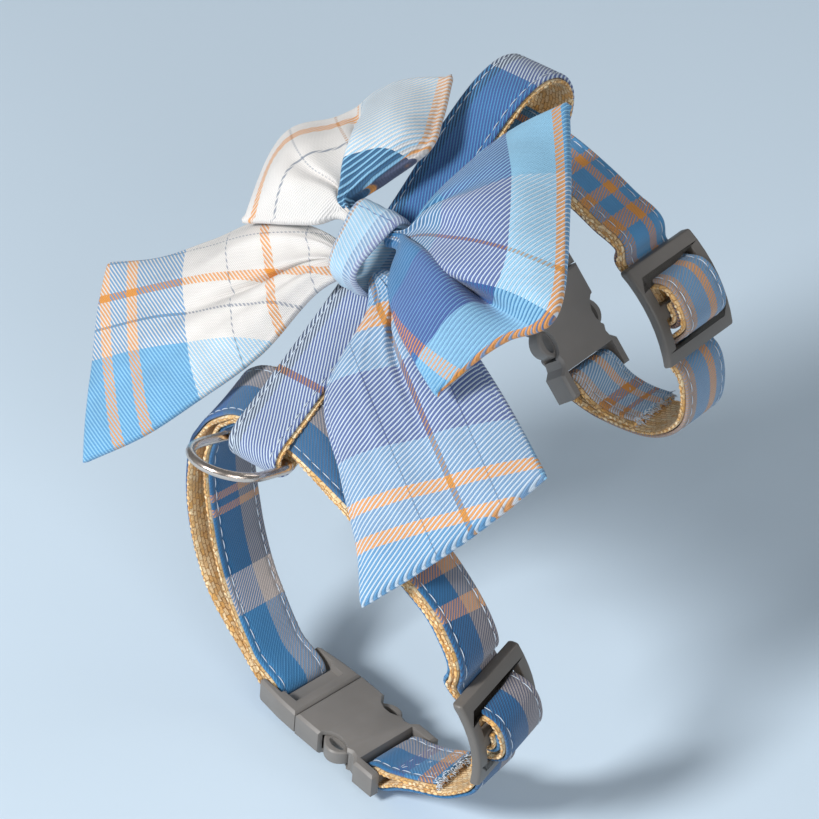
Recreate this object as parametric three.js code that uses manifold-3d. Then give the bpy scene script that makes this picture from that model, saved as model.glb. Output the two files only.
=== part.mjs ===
// Small pet harness with a cloth bow: two adjustable strap loops joined by a short back strap.
// Millimetres. +X runs from the girth loop to the neck loop, +Z is up, -Y is the side with the sliders.
import * as THREE from 'three';
import { mergeVertices } from 'three/addons/utils/BufferGeometryUtils.js';
import Module from 'manifold-3d';

const wasm = await Module();
wasm.setup();

// ---- driving dimensions ----
const STRAP_WIDTH = 16;
const FACING_WIDTH = 15.4;           // the cloth is folded in just short of the webbing's edges
const LAYER = 0.95;                  // webbing and facing cloth are each this thick
const LAYER_GAP = 0.3;               // the sewn layers' clearance
const STRAP = 2 * LAYER + LAYER_GAP; // one laminated strap
const PLY_GAP = 0.4;                 // between two straps that lie on each other
const BAR_GAP = 0.35;                // between a strap and the bar that it goes round

const BUCKLE = {
  length: 43, width: 22, thick: 7.4, barRadius: 1.3, barInset: 1.9, slot: 6.9, wall: 1.3,
};
const SLIDER = {
  length: 26, width: 24.8, rail: 3.3, endBar: 3.5, midBar: 3.6, thick: 2.8, bow: 32, lift: 2.5,
};
const RING = { wire: 2.4, width: 22.4, reach: 21, bend: 2.2, tilt: 19 };
const TURN = BUCKLE.barRadius + BAR_GAP + STRAP / 2;        // a strap's mid-line round a bar

const rad = THREE.MathUtils.degToRad;
const BACK_SLOPE = rad(33.9);        // the back strap climbs towards the neck
const BACK_YAW = rad(8.7);
const FOLD_DROP = 3 * STRAP + PLY_GAP + 1.3;  // mid-line to mid-line, round the doubled girth strap
const FOLD_CENTRE = 1.0;             // along the back strap
const FOLD_RISE = { height: 3.6, ends: 42 };  // the lower part of the back strap lies less steeply
const FOLD_ROLL = 29;                // degrees; the girth strap is turned to lie flat in the fold
const GIRTH_AT = FOLD_CENTRE + 9.5;  // where the girth strap's middle crosses, along the back strap
const NECK_AT = { along: 89.5, up: 47.3 };    // the neck strap's crossing, level distance and height
const KNOT_AT = { along: 53, above: 8.4 };

const COLOURS = {
  facing: { color: 0x6f9fce, roughness: 0.85, metalness: 0 },
  webbing: { color: 0xecc98b, roughness: 0.9, metalness: 0 },
  bowCloth: { color: 0x9cc4e6, roughness: 0.8, metalness: 0 },
  moulding: { color: 0x807c79, roughness: 0.5, metalness: 0 },
  sliderMoulding: { color: 0x6f6964, roughness: 0.5, metalness: 0 },
  nickel: { color: 0xd8d2cc, roughness: 0.2, metalness: 1 },
};

const harness = new THREE.Group();

function addMesh(name, geometry, finish, parent = harness) {
  const mesh = new THREE.Mesh(geometry, new THREE.MeshStandardMaterial(COLOURS[finish]));
  mesh.name = name;
  parent.add(mesh);
  return mesh;
}

// ---- the plane that the back strap lies in ----
const LEVEL = new THREE.Vector3(Math.cos(BACK_YAW), Math.sin(BACK_YAW), 0);
const NEAR = new THREE.Vector3(Math.sin(BACK_YAW), -Math.cos(BACK_YAW), 0);
const UP = new THREE.Vector3(0, 0, 1);

const inBackPlane = (along, up) => LEVEL.clone().multiplyScalar(along).addScaledVector(UP, up);

// a point given along the sloping strap and above its mid-line, as level distance and height
function slope(along, above) {
  return [
    along * Math.cos(BACK_SLOPE) - above * Math.sin(BACK_SLOPE),
    along * Math.sin(BACK_SLOPE) + above * Math.cos(BACK_SLOPE),
  ];
}

const rise = (along) => FOLD_RISE.height * Math.max(0, 1 - along / FOLD_RISE.ends);

// ---- closed band swept along stations { at, across }, between two offsets from the mid-line ----
function thinOut(stations, tolerance = 0.09, longest = 15) {
  const keep = new Set([0, stations.length - 1]);
  const split = (first, last) => {
    if (last - first < 2) return;
    const chord = new THREE.Line3(stations[first].at, stations[last].at);
    let worst = 0;
    let where = (first + last) >> 1;
    for (let i = first + 1; i < last; i += 1) {
      const foot = chord.closestPointToPoint(stations[i].at, true, new THREE.Vector3());
      const away = foot.distanceTo(stations[i].at);
      if (away > worst) {
        worst = away;
        where = i;
      }
    }
    if (worst < tolerance && chord.distance() < longest) return;
    keep.add(where);
    split(first, where);
    split(where, last);
  };
  split(0, stations.length - 1);
  return stations.filter((_, i) => keep.has(i));
}

function bandGeometry(stations, low, high, width) {
  const positions = [];
  const last = stations.length - 1;
  stations.forEach(({ at, across }, i) => {
    const before = at.clone().sub(stations[Math.max(i - 1, 0)].at).normalize();
    const after = stations[Math.min(i + 1, last)].at.clone().sub(at).normalize();
    const along = before.clone().add(after).normalize();
    const reference = i === 0 ? after : before;
    const mitre = 1 / Math.max(along.dot(reference), 0.5);
    const out = across.clone().cross(along).normalize();
    const side = along.clone().cross(out).normalize();
    for (const [offset, half] of [[low, -1], [low, 1], [high, 1], [high, -1]]) {
      const corner = at.clone().addScaledVector(out, offset * mitre).addScaledVector(side, half * width / 2);
      positions.push(...corner);
    }
  });
  const faces = [[0, 1, 2, 0, 2, 3]];
  for (let i = 0; i < last; i += 1) {
    for (let k = 0; k < 4; k += 1) {
      const a = 4 * i + k;
      const b = 4 * i + ((k + 1) % 4);
      // both broad faces are split along the same diagonal, so a twisted strap's two layers stay apart
      faces.push(k === 2 ? [a, a + 4, b + 4, a, b + 4, b] : [a, a + 4, b, b, a + 4, b + 4]);
    }
  }
  faces.push([0, 2, 1, 0, 3, 2].map((k) => k + 4 * last));
  return outwardGeometry(positions, faces.flat());
}

// the faces are turned over together when they enclose a negative volume
function outwardGeometry(positions, index) {
  let volume = 0;
  const corner = (k) => new THREE.Vector3().fromArray(positions, 3 * k);
  for (let f = 0; f < index.length; f += 3) {
    volume += corner(index[f]).dot(corner(index[f + 1]).cross(corner(index[f + 2])));
  }
  const faces = volume > 0 ? index : index.slice().reverse();
  const geometry = new THREE.BufferGeometry();
  geometry.setAttribute('position', new THREE.Float32BufferAttribute(positions, 3));
  geometry.setIndex(faces);
  return geometry;
}

function addStrap(name, stations) {
  const kept = thinOut(stations);
  const half = LAYER_GAP / 2;
  addMesh(`${name}_webbing`, bandGeometry(kept, -half - LAYER, -half, STRAP_WIDTH), 'webbing');
  addMesh(`${name}_facing`, bandGeometry(kept, half, half + LAYER, FACING_WIDTH), 'facing');
}

// half a turn round a bar, as points of [distance, height]
function halfTurn(centre, radius, from, steps = 6) {
  const points = [];
  for (let i = 0; i <= steps; i += 1) {
    const angle = from + Math.PI * i / steps;
    points.push([centre[0] + radius * Math.cos(angle), centre[1] + radius * Math.sin(angle)]);
  }
  return points;
}

// evenly spaced points on the smooth curve through a few given ones
function smooth(points, spacing = 0.5) {
  const curve = new THREE.CatmullRomCurve3(points, false, 'centripetal');
  curve.arcLengthDivisions = 2000;
  return curve.getSpacedPoints(Math.ceil(curve.getLength() / spacing));
}

// ---- strap loops ----
// u runs level in the loop's plane (minus is the near side) and z runs up, both from the crossing under the
// back strap; x leans it out of the plane. spread parts the two plies. roll turns the strap about its own length,
// so that it lies flat in the back strap's fold.
const GIRTH = {
  name: 'girth',
  crossing: inBackPlane(...slope(GIRTH_AT, rise(GIRTH_AT) - FOLD_DROP / 2)),
  yaw: rad(2),
  rows: [
    { u: -0.3, z: -81.8, spread: 0 },
    { u: 6.2, z: -77.6, spread: 0.5 },
    { u: 11.7, z: -71.6, spread: 1.6 },
    { u: 19.1, z: -62.1, spread: 2.8 },
    { u: 23.5, z: -51.1, spread: 3.4 },
    { u: 25.7, z: -37.1, spread: 3.0 },
    { u: 25.5, z: -22.1, spread: 1.6, roll: 4 },
    { u: 22.0, z: -11.0, spread: 0.4, roll: 16 },
    { u: 17, z: -4.2, spread: 0, roll: 26 },
    { u: 10.5, z: -0.3, spread: 0, roll: FOLD_ROLL },
    { u: 0, z: 0, spread: 0, roll: FOLD_ROLL, mark: 'crossing' },
    { u: -10.5, z: -0.3, spread: 0, roll: FOLD_ROLL },
    { u: -18, z: -3.0, spread: 0.1, roll: 22 },
    { u: -31, z: -8.4, spread: 0.2, roll: 8 },
    { u: -47.0, z: -17.4, spread: 0.3, roll: -3 },
    { u: -60.2, z: -24.6, spread: 0.2, roll: -10 },
    { u: -70.2, z: -50.6, x: 2, spread: 0, roll: -12, mark: 'slider', heading: [-0.08, -0.985, 0.15] },
    { u: -68.6, z: -71.0, x: 3.6, spread: 0, roll: -8 },
    { u: -61.5, z: -75.8, x: 2, spread: 0, roll: -3 },
    { u: -50.5, z: -80.2, spread: 0 },
    { u: -38.7, z: -85.6, spread: 0 },
  ],
};
const NECK = {
  name: 'neck',
  crossing: inBackPlane(NECK_AT.along, NECK_AT.up),
  yaw: BACK_YAW,
  rows: [
    { u: -3.7, z: -32.5, spread: 0 },
    { u: 4.2, z: -32.6, spread: 0.3 },
    { u: 12.2, z: -31.6, spread: 0.8 },
    { u: 18.2, z: -26.6, spread: 1.2 },
    { u: 18.7, z: -18.1, spread: 1.2 },
    { u: 16.2, z: -9.6, spread: 0.8 },
    { u: 12.6, z: -4.4, spread: 0.2 },
    { u: 8.6, z: -0.7, spread: 0.1 },
    { u: 0, z: 0, spread: 0, mark: 'crossing' },
    { u: -11.8, z: -1.6, spread: 0 },
    { u: -23.8, z: -5.1, spread: 0.2 },
    { u: -35.8, z: -9.1, spread: 0.3 },
    { u: -54.3, z: -26.6, spread: 0, mark: 'slider', heading: [-0.563, -0.826, 0] },
    { u: -63.8, z: -48.1, spread: 0 },
    { u: -61.8, z: -56.1, spread: 0 },
    { u: -54.8, z: -62.1, spread: 0 },
    { u: -44.8, z: -64.6, spread: 0 },
    { u: -35.8, z: -64.6, spread: 0 },
    { u: -28.5, z: -62.1, spread: 0 },
  ],
};

// frames along a loop at a distance from the male bar: point, tangent, outward normal and the strap's width
function makeSpine({ crossing, yaw, rows: table }) {
  const across = new THREE.Vector3(Math.cos(yaw), Math.sin(yaw), 0);
  const level = new THREE.Vector3(-Math.sin(yaw), Math.cos(yaw), 0);
  const place = ({ u, z, x = 0 }) => crossing.clone().addScaledVector(level, u).addScaledVector(UP, z)
    .addScaledVector(across, x);
  // a slider is stiff, so the loop runs straight through it
  const beside = [-18, -9, 0, 7.5, 15];
  const rows = table.flatMap((row) => (row.mark !== 'slider' ? [row] : beside.map((ds) => ({
    ...row,
    u: row.u + ds * row.heading[0],
    z: row.z + ds * row.heading[1],
    x: (row.x ?? 0) + ds * row.heading[2],
    mark: ds === 0 ? 'slider' : '',
  }))));
  const curve = new THREE.CatmullRomCurve3(rows.map(place), false, 'centripetal');
  curve.arcLengthDivisions = 100 * (rows.length - 1);
  const lengths = curve.getLengths();
  const total = lengths[lengths.length - 1];
  const rowAt = rows.map((_, i) => lengths[100 * i]);
  const column = (s, key) => {
    let i = 0;
    while (i < rows.length - 2 && s > rowAt[i + 1]) i += 1;
    const t = THREE.MathUtils.smoothstep(s, rowAt[i], rowAt[i + 1]);
    return THREE.MathUtils.lerp(rows[i][key] ?? 0, rows[i + 1][key] ?? 0, t);
  };
  const frame = (s) => {
    const inside = THREE.MathUtils.clamp(s / total, 0, 1);
    const tangent = curve.getTangentAt(inside);
    const at = curve.getPointAt(inside).addScaledVector(tangent, s - inside * total);
    const width = across.clone().addScaledVector(tangent, -across.dot(tangent)).normalize();
    width.applyAxisAngle(tangent, rad(column(s, 'roll')));
    return { at, tangent, width, normal: tangent.clone().cross(width) };
  };
  const mark = (name) => rowAt[rows.findIndex((row) => row.mark === name)];
  return { frame, total, spread: (s) => column(s, 'spread'), mark, across };
}

// One strap, from the sewn flap at the female buckle, through the slider, over the back, round the male
// buckle's bar and back under itself to the slider's middle bar. Points are [distance, height outward].
function strapRoute(spine) {
  const ply = (STRAP + PLY_GAP) / 2;
  const slider = spine.mark('slider');
  const end = spine.total;
  const round = SLIDER.thick / 2 + BAR_GAP + STRAP / 2;
  const over = SLIDER.lift + round + STRAP + 0.4;
  const under = (ds) => SLIDER.lift - round - 0.35 - ds * ds / (2 * SLIDER.bow);
  const hump = [[13.4, under(13.4)], [10.8, under(10.8)], [8.9, under(8.9) - 0.2], [7.6, SLIDER.lift - 1.8],
    [6.8, SLIDER.lift + 0.8], [5.7, over - 1.8], [3.4, over - 0.45]];
  const bars = (side) => hump.map(([ds, h]) => [slider + side * ds, h]);
  // the strap sinks gently towards the slider's end bar
  const sinking = [[20, -0.8], [28, 0.2], [35, 0.9]];
  const outer = [];
  const inner = [];
  for (let s = 9; s < slider - 38; s += 9) {
    outer.push([s, ply + spine.spread(s)]);
    inner.push([s, -ply - spine.spread(s)]);
  }
  return [
    [end - 21, -ply], [end - 14, -ply], [end - 6, -1.9],
    ...halfTurn([end, 0], TURN, -Math.PI / 2),
    [end - 6, 1.9], [end - 12, ply], [end - 24, ply], [slider + 19, -1.2],
    ...bars(1), [slider, over], ...bars(-1).reverse(),
    ...sinking.map(([ds, h]) => [slider - ds, h]),
    ...outer.reverse(), [4, TURN - 0.3],
    ...halfTurn([0, 0], TURN, Math.PI / 2), [4, -TURN + 0.3], ...inner,
    ...sinking.map(([ds, h]) => [slider - ds, h - 2 * ply - 0.1]).reverse(), [slider - 13.4, under(13.4) - 2 * ply - 0.15],
    [slider - 8, under(8) - ply],
    [slider - 3, under(3) - 0.1],
    ...halfTurn([slider + 1.2, SLIDER.lift], round, -Math.PI / 2), [slider - 1.5, SLIDER.lift + round],
  ];
}

function loopStations(spine) {
  const route = strapRoute(spine).map(([s, h]) => new THREE.Vector3(s, h, 0));
  return smooth(route).map(({ x: s, y: h }) => {
    const { at, normal, width } = spine.frame(s);
    return { at: at.addScaledVector(normal, h), across: width };
  });
}

// ---- moulded hardware ----
function solid(geometry) {
  const bare = geometry.clone();
  for (const attribute of ['normal', 'uv', 'uv1']) bare.deleteAttribute(attribute);
  const merged = mergeVertices(bare, 1e-4);
  return new wasm.Manifold(new wasm.Mesh({
    numProp: 3,
    vertProperties: merged.attributes.position.array,
    triVerts: Uint32Array.from(merged.index.array),
  }));
}

function geometryOf(manifold) {
  const { vertProperties, triVerts } = manifold.getMesh();
  const geometry = new THREE.BufferGeometry();
  geometry.setAttribute('position', new THREE.Float32BufferAttribute(vertProperties, 3));
  geometry.setIndex(Array.from(triVerts));
  return geometry;
}

// box with x across, y along the strap and z through the thickness
function block(wide, from, to, thick, atX = 0, atZ = 0) {
  const geometry = new THREE.BoxGeometry(wide, to - from, thick);
  geometry.translate(atX, (from + to) / 2, atZ);
  return solid(geometry);
}

// plan outline [x, y] drawn for one half and mirrored, extruded through the thickness with a small bevel
function plate(outline, thick, bevel = 0, atZ = 0) {
  const mirrored = [...outline, ...outline.filter(([x]) => x > 0).reverse().map(([x, y]) => [-x, y])];
  const shape = new THREE.Shape(mirrored.map(([x, y]) => new THREE.Vector2(x, y)));
  const geometry = new THREE.ExtrudeGeometry(shape, {
    depth: thick - 2 * bevel,
    bevelEnabled: bevel > 0,
    bevelThickness: bevel,
    bevelSize: bevel,
    bevelOffset: -bevel,
    bevelSegments: 1,
    curveSegments: 6,
  });
  geometry.translate(0, 0, -thick / 2 + bevel + atZ);
  return solid(geometry);
}

// oval cutter through the thickness
function oval(x, y, radiusX, radiusY) {
  const geometry = new THREE.CylinderGeometry(1, 1, 20, 14);
  geometry.rotateX(Math.PI / 2);
  geometry.scale(radiusX, radiusY, 1);
  geometry.translate(x, y, 0);
  return solid(geometry);
}

const HALF = BUCKLE.length / 2;
const HALF_WIDE = BUCKLE.width / 2;
const SEAM = -HALF + 0.34 * BUCKLE.length;       // where the two halves meet
const WINDOW = { from: 1.8, to: 11.2, depth: 3.2 };
const SLOT_WIDE = STRAP_WIDTH + 1.2;
const SLOT_END = -HALF + BUCKLE.slot;
const PRONG_THICK = 4.2;
const RECESS = { wide: 15.6, long: 4.6, floor: 1.1 };       // where the strap lies in the male half

// the strap end is open between two arms and has a round bar across it
function strapEnd(body, side) {
  const from = side * (HALF - BUCKLE.slot);
  const to = side * (HALF + 1);
  const bar = new THREE.CylinderGeometry(BUCKLE.barRadius, BUCKLE.barRadius, SLOT_WIDE + 1, 10);
  bar.rotateZ(Math.PI / 2);
  bar.translate(0, side * (HALF - BUCKLE.barInset), 0);
  return body.subtract(block(SLOT_WIDE, Math.min(from, to), Math.max(from, to), 20)).add(solid(bar));
}

// male half: strap end at -y, prongs towards +y
function buckleMale() {
  let body = plate([
    [0, SEAM], [HALF_WIDE, SEAM], [HALF_WIDE - 0.2, SEAM - 6], [HALF_WIDE - 1.0, -HALF + 1],
    [HALF_WIDE - 1.6, -HALF], [0, -HALF],
  ], BUCKLE.thick - 0.4, 0.7);
  const step = SLOT_END + RECESS.long;
  body = strapEnd(body.subtract(block(RECESS.wide, SLOT_END - 1, step, 6, 0, RECESS.floor + 3)), -1);
  const tongue = block(4, SEAM - 1, 8.5, 2.4);
  body = body.add(tongue);
  const lever = new THREE.SplineCurve([
    [6.8, SEAM - 1], [7.4, WINDOW.from - 2.4], [8.8, WINDOW.from], [10.9, WINDOW.from + 2.2],
    [HALF_WIDE + 0.7, WINDOW.from + 4.5], [11.1, WINDOW.from + 6.6], [9.4, WINDOW.to - 1.3],
    [7.2, WINDOW.to - 0.6], [5.3, WINDOW.to - 1.8], [5.0, WINDOW.from],
  ].map(([x, y]) => new THREE.Vector2(x, y))).getPoints(26);
  for (const side of [-1, 1]) {
    const shape = new THREE.Shape([[4.4, SEAM - 1], ...lever.map((p) => p.toArray())]
      .map(([x, y]) => new THREE.Vector2(side * x, y)));
    const geometry = new THREE.ExtrudeGeometry(shape, {
      depth: PRONG_THICK - 0.8, bevelEnabled: true, bevelThickness: 0.4, bevelSize: 0.4, bevelOffset: -0.4,
      bevelSegments: 1,
    });
    geometry.translate(0, 0, 0.4 - PRONG_THICK / 2);
    body = body.add(solid(geometry)).subtract(oval(side * 8.7, WINDOW.from + 4.6, 1.25, 2.6));
  }
  return geometryOf(body);
}

// female half: mouth at -y, strap end at +y
function buckleFemale() {
  const mouth = SEAM + 0.3;
  const shoulder = WINDOW.to + 1.3;
  let body = plate([
    [0, mouth], [HALF_WIDE, mouth], [HALF_WIDE, WINDOW.from], [HALF_WIDE - 1.6, WINDOW.to - 0.8],
    [HALF_WIDE - 2.1, WINDOW.to + 0.6], [HALF_WIDE - 1.7, shoulder + 0.7], [HALF_WIDE, shoulder + 2.2],
    [HALF_WIDE, HALF], [0, HALF],
  ], BUCKLE.thick, 0.7);
  const inside = { wide: BUCKLE.width - 2 * BUCKLE.wall, thick: BUCKLE.thick - 2 * BUCKLE.wall };
  body = body.subtract(block(inside.wide, mouth - 1, WINDOW.to - 0.2, inside.thick));
  body = strapEnd(body, 1);
  for (const side of [-1, 1]) {
    const middle = (WINDOW.from + WINDOW.to) / 2;
    const reach = (WINDOW.to - WINDOW.from) / 2 + 0.2;
    body = body.subtract(oval(side * (HALF_WIDE + 0.4), middle, WINDOW.depth + 0.8, reach));
  }
  return geometryOf(body);
}

// tri-glide: a frame bowed over the strap, with a middle bar; x across, y along the strap, z outward
function slider() {
  const half = SLIDER.length / 2;
  const sag = (y) => -y * y / (2 * SLIDER.bow);
  const side = [];
  for (let i = 0; i <= 8; i += 1) side.push(half * (i / 4 - 1));
  const profile = new THREE.Shape([
    ...side.map((y) => new THREE.Vector2(y, sag(y) + SLIDER.thick / 2)),
    ...side.slice().reverse().map((y) => new THREE.Vector2(y, sag(y) - SLIDER.thick / 2)),
  ]);
  const bevel = 0.5;
  const geometry = new THREE.ExtrudeGeometry(profile, {
    depth: SLIDER.width - 2 * bevel,
    bevelEnabled: true,
    bevelThickness: bevel,
    bevelSize: bevel,
    bevelOffset: -bevel,
    bevelSegments: 1,
  });
  geometry.translate(0, 0, -SLIDER.width / 2 + bevel);
  geometry.applyMatrix4(new THREE.Matrix4().makeBasis(
    new THREE.Vector3(0, 1, 0), new THREE.Vector3(0, 0, 1), new THREE.Vector3(1, 0, 0)));
  let body = solid(geometry);
  const from = SLIDER.midBar / 2;
  const to = half - SLIDER.endBar;
  const wide = SLIDER.width - 2 * SLIDER.rail;
  body = body.subtract(block(wide, from, to, 20)).subtract(block(wide, -to, -from, 20));
  return geometryOf(body);
}

function place(mesh, at, across, along) {
  const up = across.clone().cross(along).normalize();
  mesh.quaternion.setFromRotationMatrix(new THREE.Matrix4().makeBasis(across, along, up));
  mesh.position.copy(at);
}

for (const loop of [GIRTH, NECK]) {
  const spine = makeSpine(loop);
  addStrap(`${loop.name}_strap`, loopStations(spine));

  const maleBar = spine.frame(0).at;
  const femaleBar = spine.frame(spine.total).at;
  const along = femaleBar.clone().sub(maleBar).normalize();
  const middle = femaleBar.clone().add(maleBar).multiplyScalar(0.5);
  const inward = spine.across.clone().negate();
  place(addMesh(`${loop.name}_buckle_male`, buckleMale(), 'moulding'), middle, inward, along);
  place(addMesh(`${loop.name}_buckle_female`, buckleFemale(), 'moulding'), middle, inward, along);

  const { at, tangent, normal, width } = spine.frame(spine.mark('slider'));
  at.addScaledVector(normal, SLIDER.lift);
  place(addMesh(`${loop.name}_slider`, slider(), 'sliderMoulding'), at, width.negate(), tangent);
}

// ---- back strap: one length, folded round the girth strap and the lead ring, and round the neck strap ----
const FOLD_END = [FOLD_CENTRE, rise(FOLD_CENTRE) - FOLD_DROP / 2];
const RING_BAR = [FOLD_CENTRE - (FOLD_DROP / 2 - STRAP / 2 - BAR_GAP - RING.wire / 2), FOLD_END[1]];

function backStrap() {
  const fold = halfTurn(FOLD_END, FOLD_DROP / 2, -Math.PI / 2).map(([a, h]) => [2 * FOLD_CENTRE - a, h]);
  const sewn = STRAP + PLY_GAP;
  const under = [
    [42, -sewn], [33, -sewn], [28, -sewn - 0.8], [22, -FOLD_DROP + 0.9], [17, -FOLD_DROP], [9, -FOLD_DROP],
  ];
  const over = [[8, 0], [20, 0], [32, 0], [44, 0], [56, 0], [70, 0.1]];
  const raised = ([along, above]) => [along, above + rise(along)];
  const sloping = [...under.map(raised), ...fold, ...over.map(raised)].map((point) => slope(...point));
  // level distance and height, over the neck strap and back below it
  const arch = [
    [67.5, 46.0], [79.1, 54.0], [88.5, 58.6], [96.5, 59.6], [102.4, 57.2], [105.6, 52.6], [106.0, 47.6],
    [104.0, 43.4], [98.5, 42.2], [90.5, 42.6], [82.0, 42.9], [75.0, 43.4], [68.0, 40.9],
    [60.5, 36.9], [52.5, 31.6], [46.0, 27.2],
  ];
  const route = [...sloping, ...arch].map(([along, up]) => inBackPlane(along, up));
  return smooth(route).map((at) => ({ at, across: NEAR }));
}
addStrap('back_strap', backStrap());

// ---- lead ring: a D of round wire, its straight bar in the fold ----
function ringGeometry() {
  const half = RING.width / 2 - RING.wire / 2;
  const deep = RING.reach - half;
  const path = new THREE.CurvePath();
  const v = (x, y) => new THREE.Vector3(x, y, 0);
  const bend = RING.bend;
  path.add(new THREE.LineCurve3(v(0, 0), v(half - bend, 0)));
  path.add(new THREE.QuadraticBezierCurve3(v(half - bend, 0), v(half, 0), v(half, bend)));
  path.add(new THREE.LineCurve3(v(half, bend), v(half, deep)));
  const quarter = half * 0.5523;
  path.add(new THREE.CubicBezierCurve3(
    v(half, deep), v(half, deep + quarter), v(quarter, deep + half), v(0, deep + half)));
  path.add(new THREE.CubicBezierCurve3(
    v(0, deep + half), v(-quarter, deep + half), v(-half, deep + quarter), v(-half, deep)));
  path.add(new THREE.LineCurve3(v(-half, deep), v(-half, bend)));
  path.add(new THREE.QuadraticBezierCurve3(v(-half, bend), v(-half, 0), v(-half + bend, 0)));
  path.add(new THREE.LineCurve3(v(-half + bend, 0), v(0, 0)));
  return closedTube(path, RING.wire / 2, 40, 8);
}

// round wire swept round a flat closed path in the xy plane
function closedTube(path, radius, steps, sides) {
  const positions = [];
  const index = [];
  for (let i = 0; i < steps; i += 1) {
    const at = path.getPointAt(i / steps);
    const tangent = path.getTangentAt(i / steps);
    const out = new THREE.Vector3(tangent.y, -tangent.x, 0);
    for (let k = 0; k < sides; k += 1) {
      const angle = 2 * Math.PI * k / sides;
      const onWire = at.clone().addScaledVector(out, radius * Math.cos(angle));
      positions.push(...onWire.addScaledVector(UP, radius * Math.sin(angle)));
      const a = i * sides + k;
      const b = i * sides + ((k + 1) % sides);
      const c = ((i + 1) % steps) * sides + k;
      const d = ((i + 1) % steps) * sides + ((k + 1) % sides);
      index.push(a, b, c, b, d, c);
    }
  }
  return outwardGeometry(positions, index);
}

{
  const [along, up] = slope(...RING_BAR);
  const tilt = rad(RING.tilt);
  const pointing = LEVEL.clone().multiplyScalar(-Math.cos(tilt)).addScaledVector(UP, Math.sin(tilt));
  place(addMesh('lead_ring', ringGeometry(), 'nickel'), inBackPlane(along, up), NEAR, pointing);
}

// ---- bow ----
// x runs along the back strap towards the neck, y to the far side and z out from the strap, all from the knot
const bow = new THREE.Group();
harness.add(bow);
{
  const along = inBackPlane(Math.cos(BACK_SLOPE), Math.sin(BACK_SLOPE));
  place(bow, inBackPlane(...slope(KNOT_AT.along, KNOT_AT.above)), along, NEAR.clone().negate());
}

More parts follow.
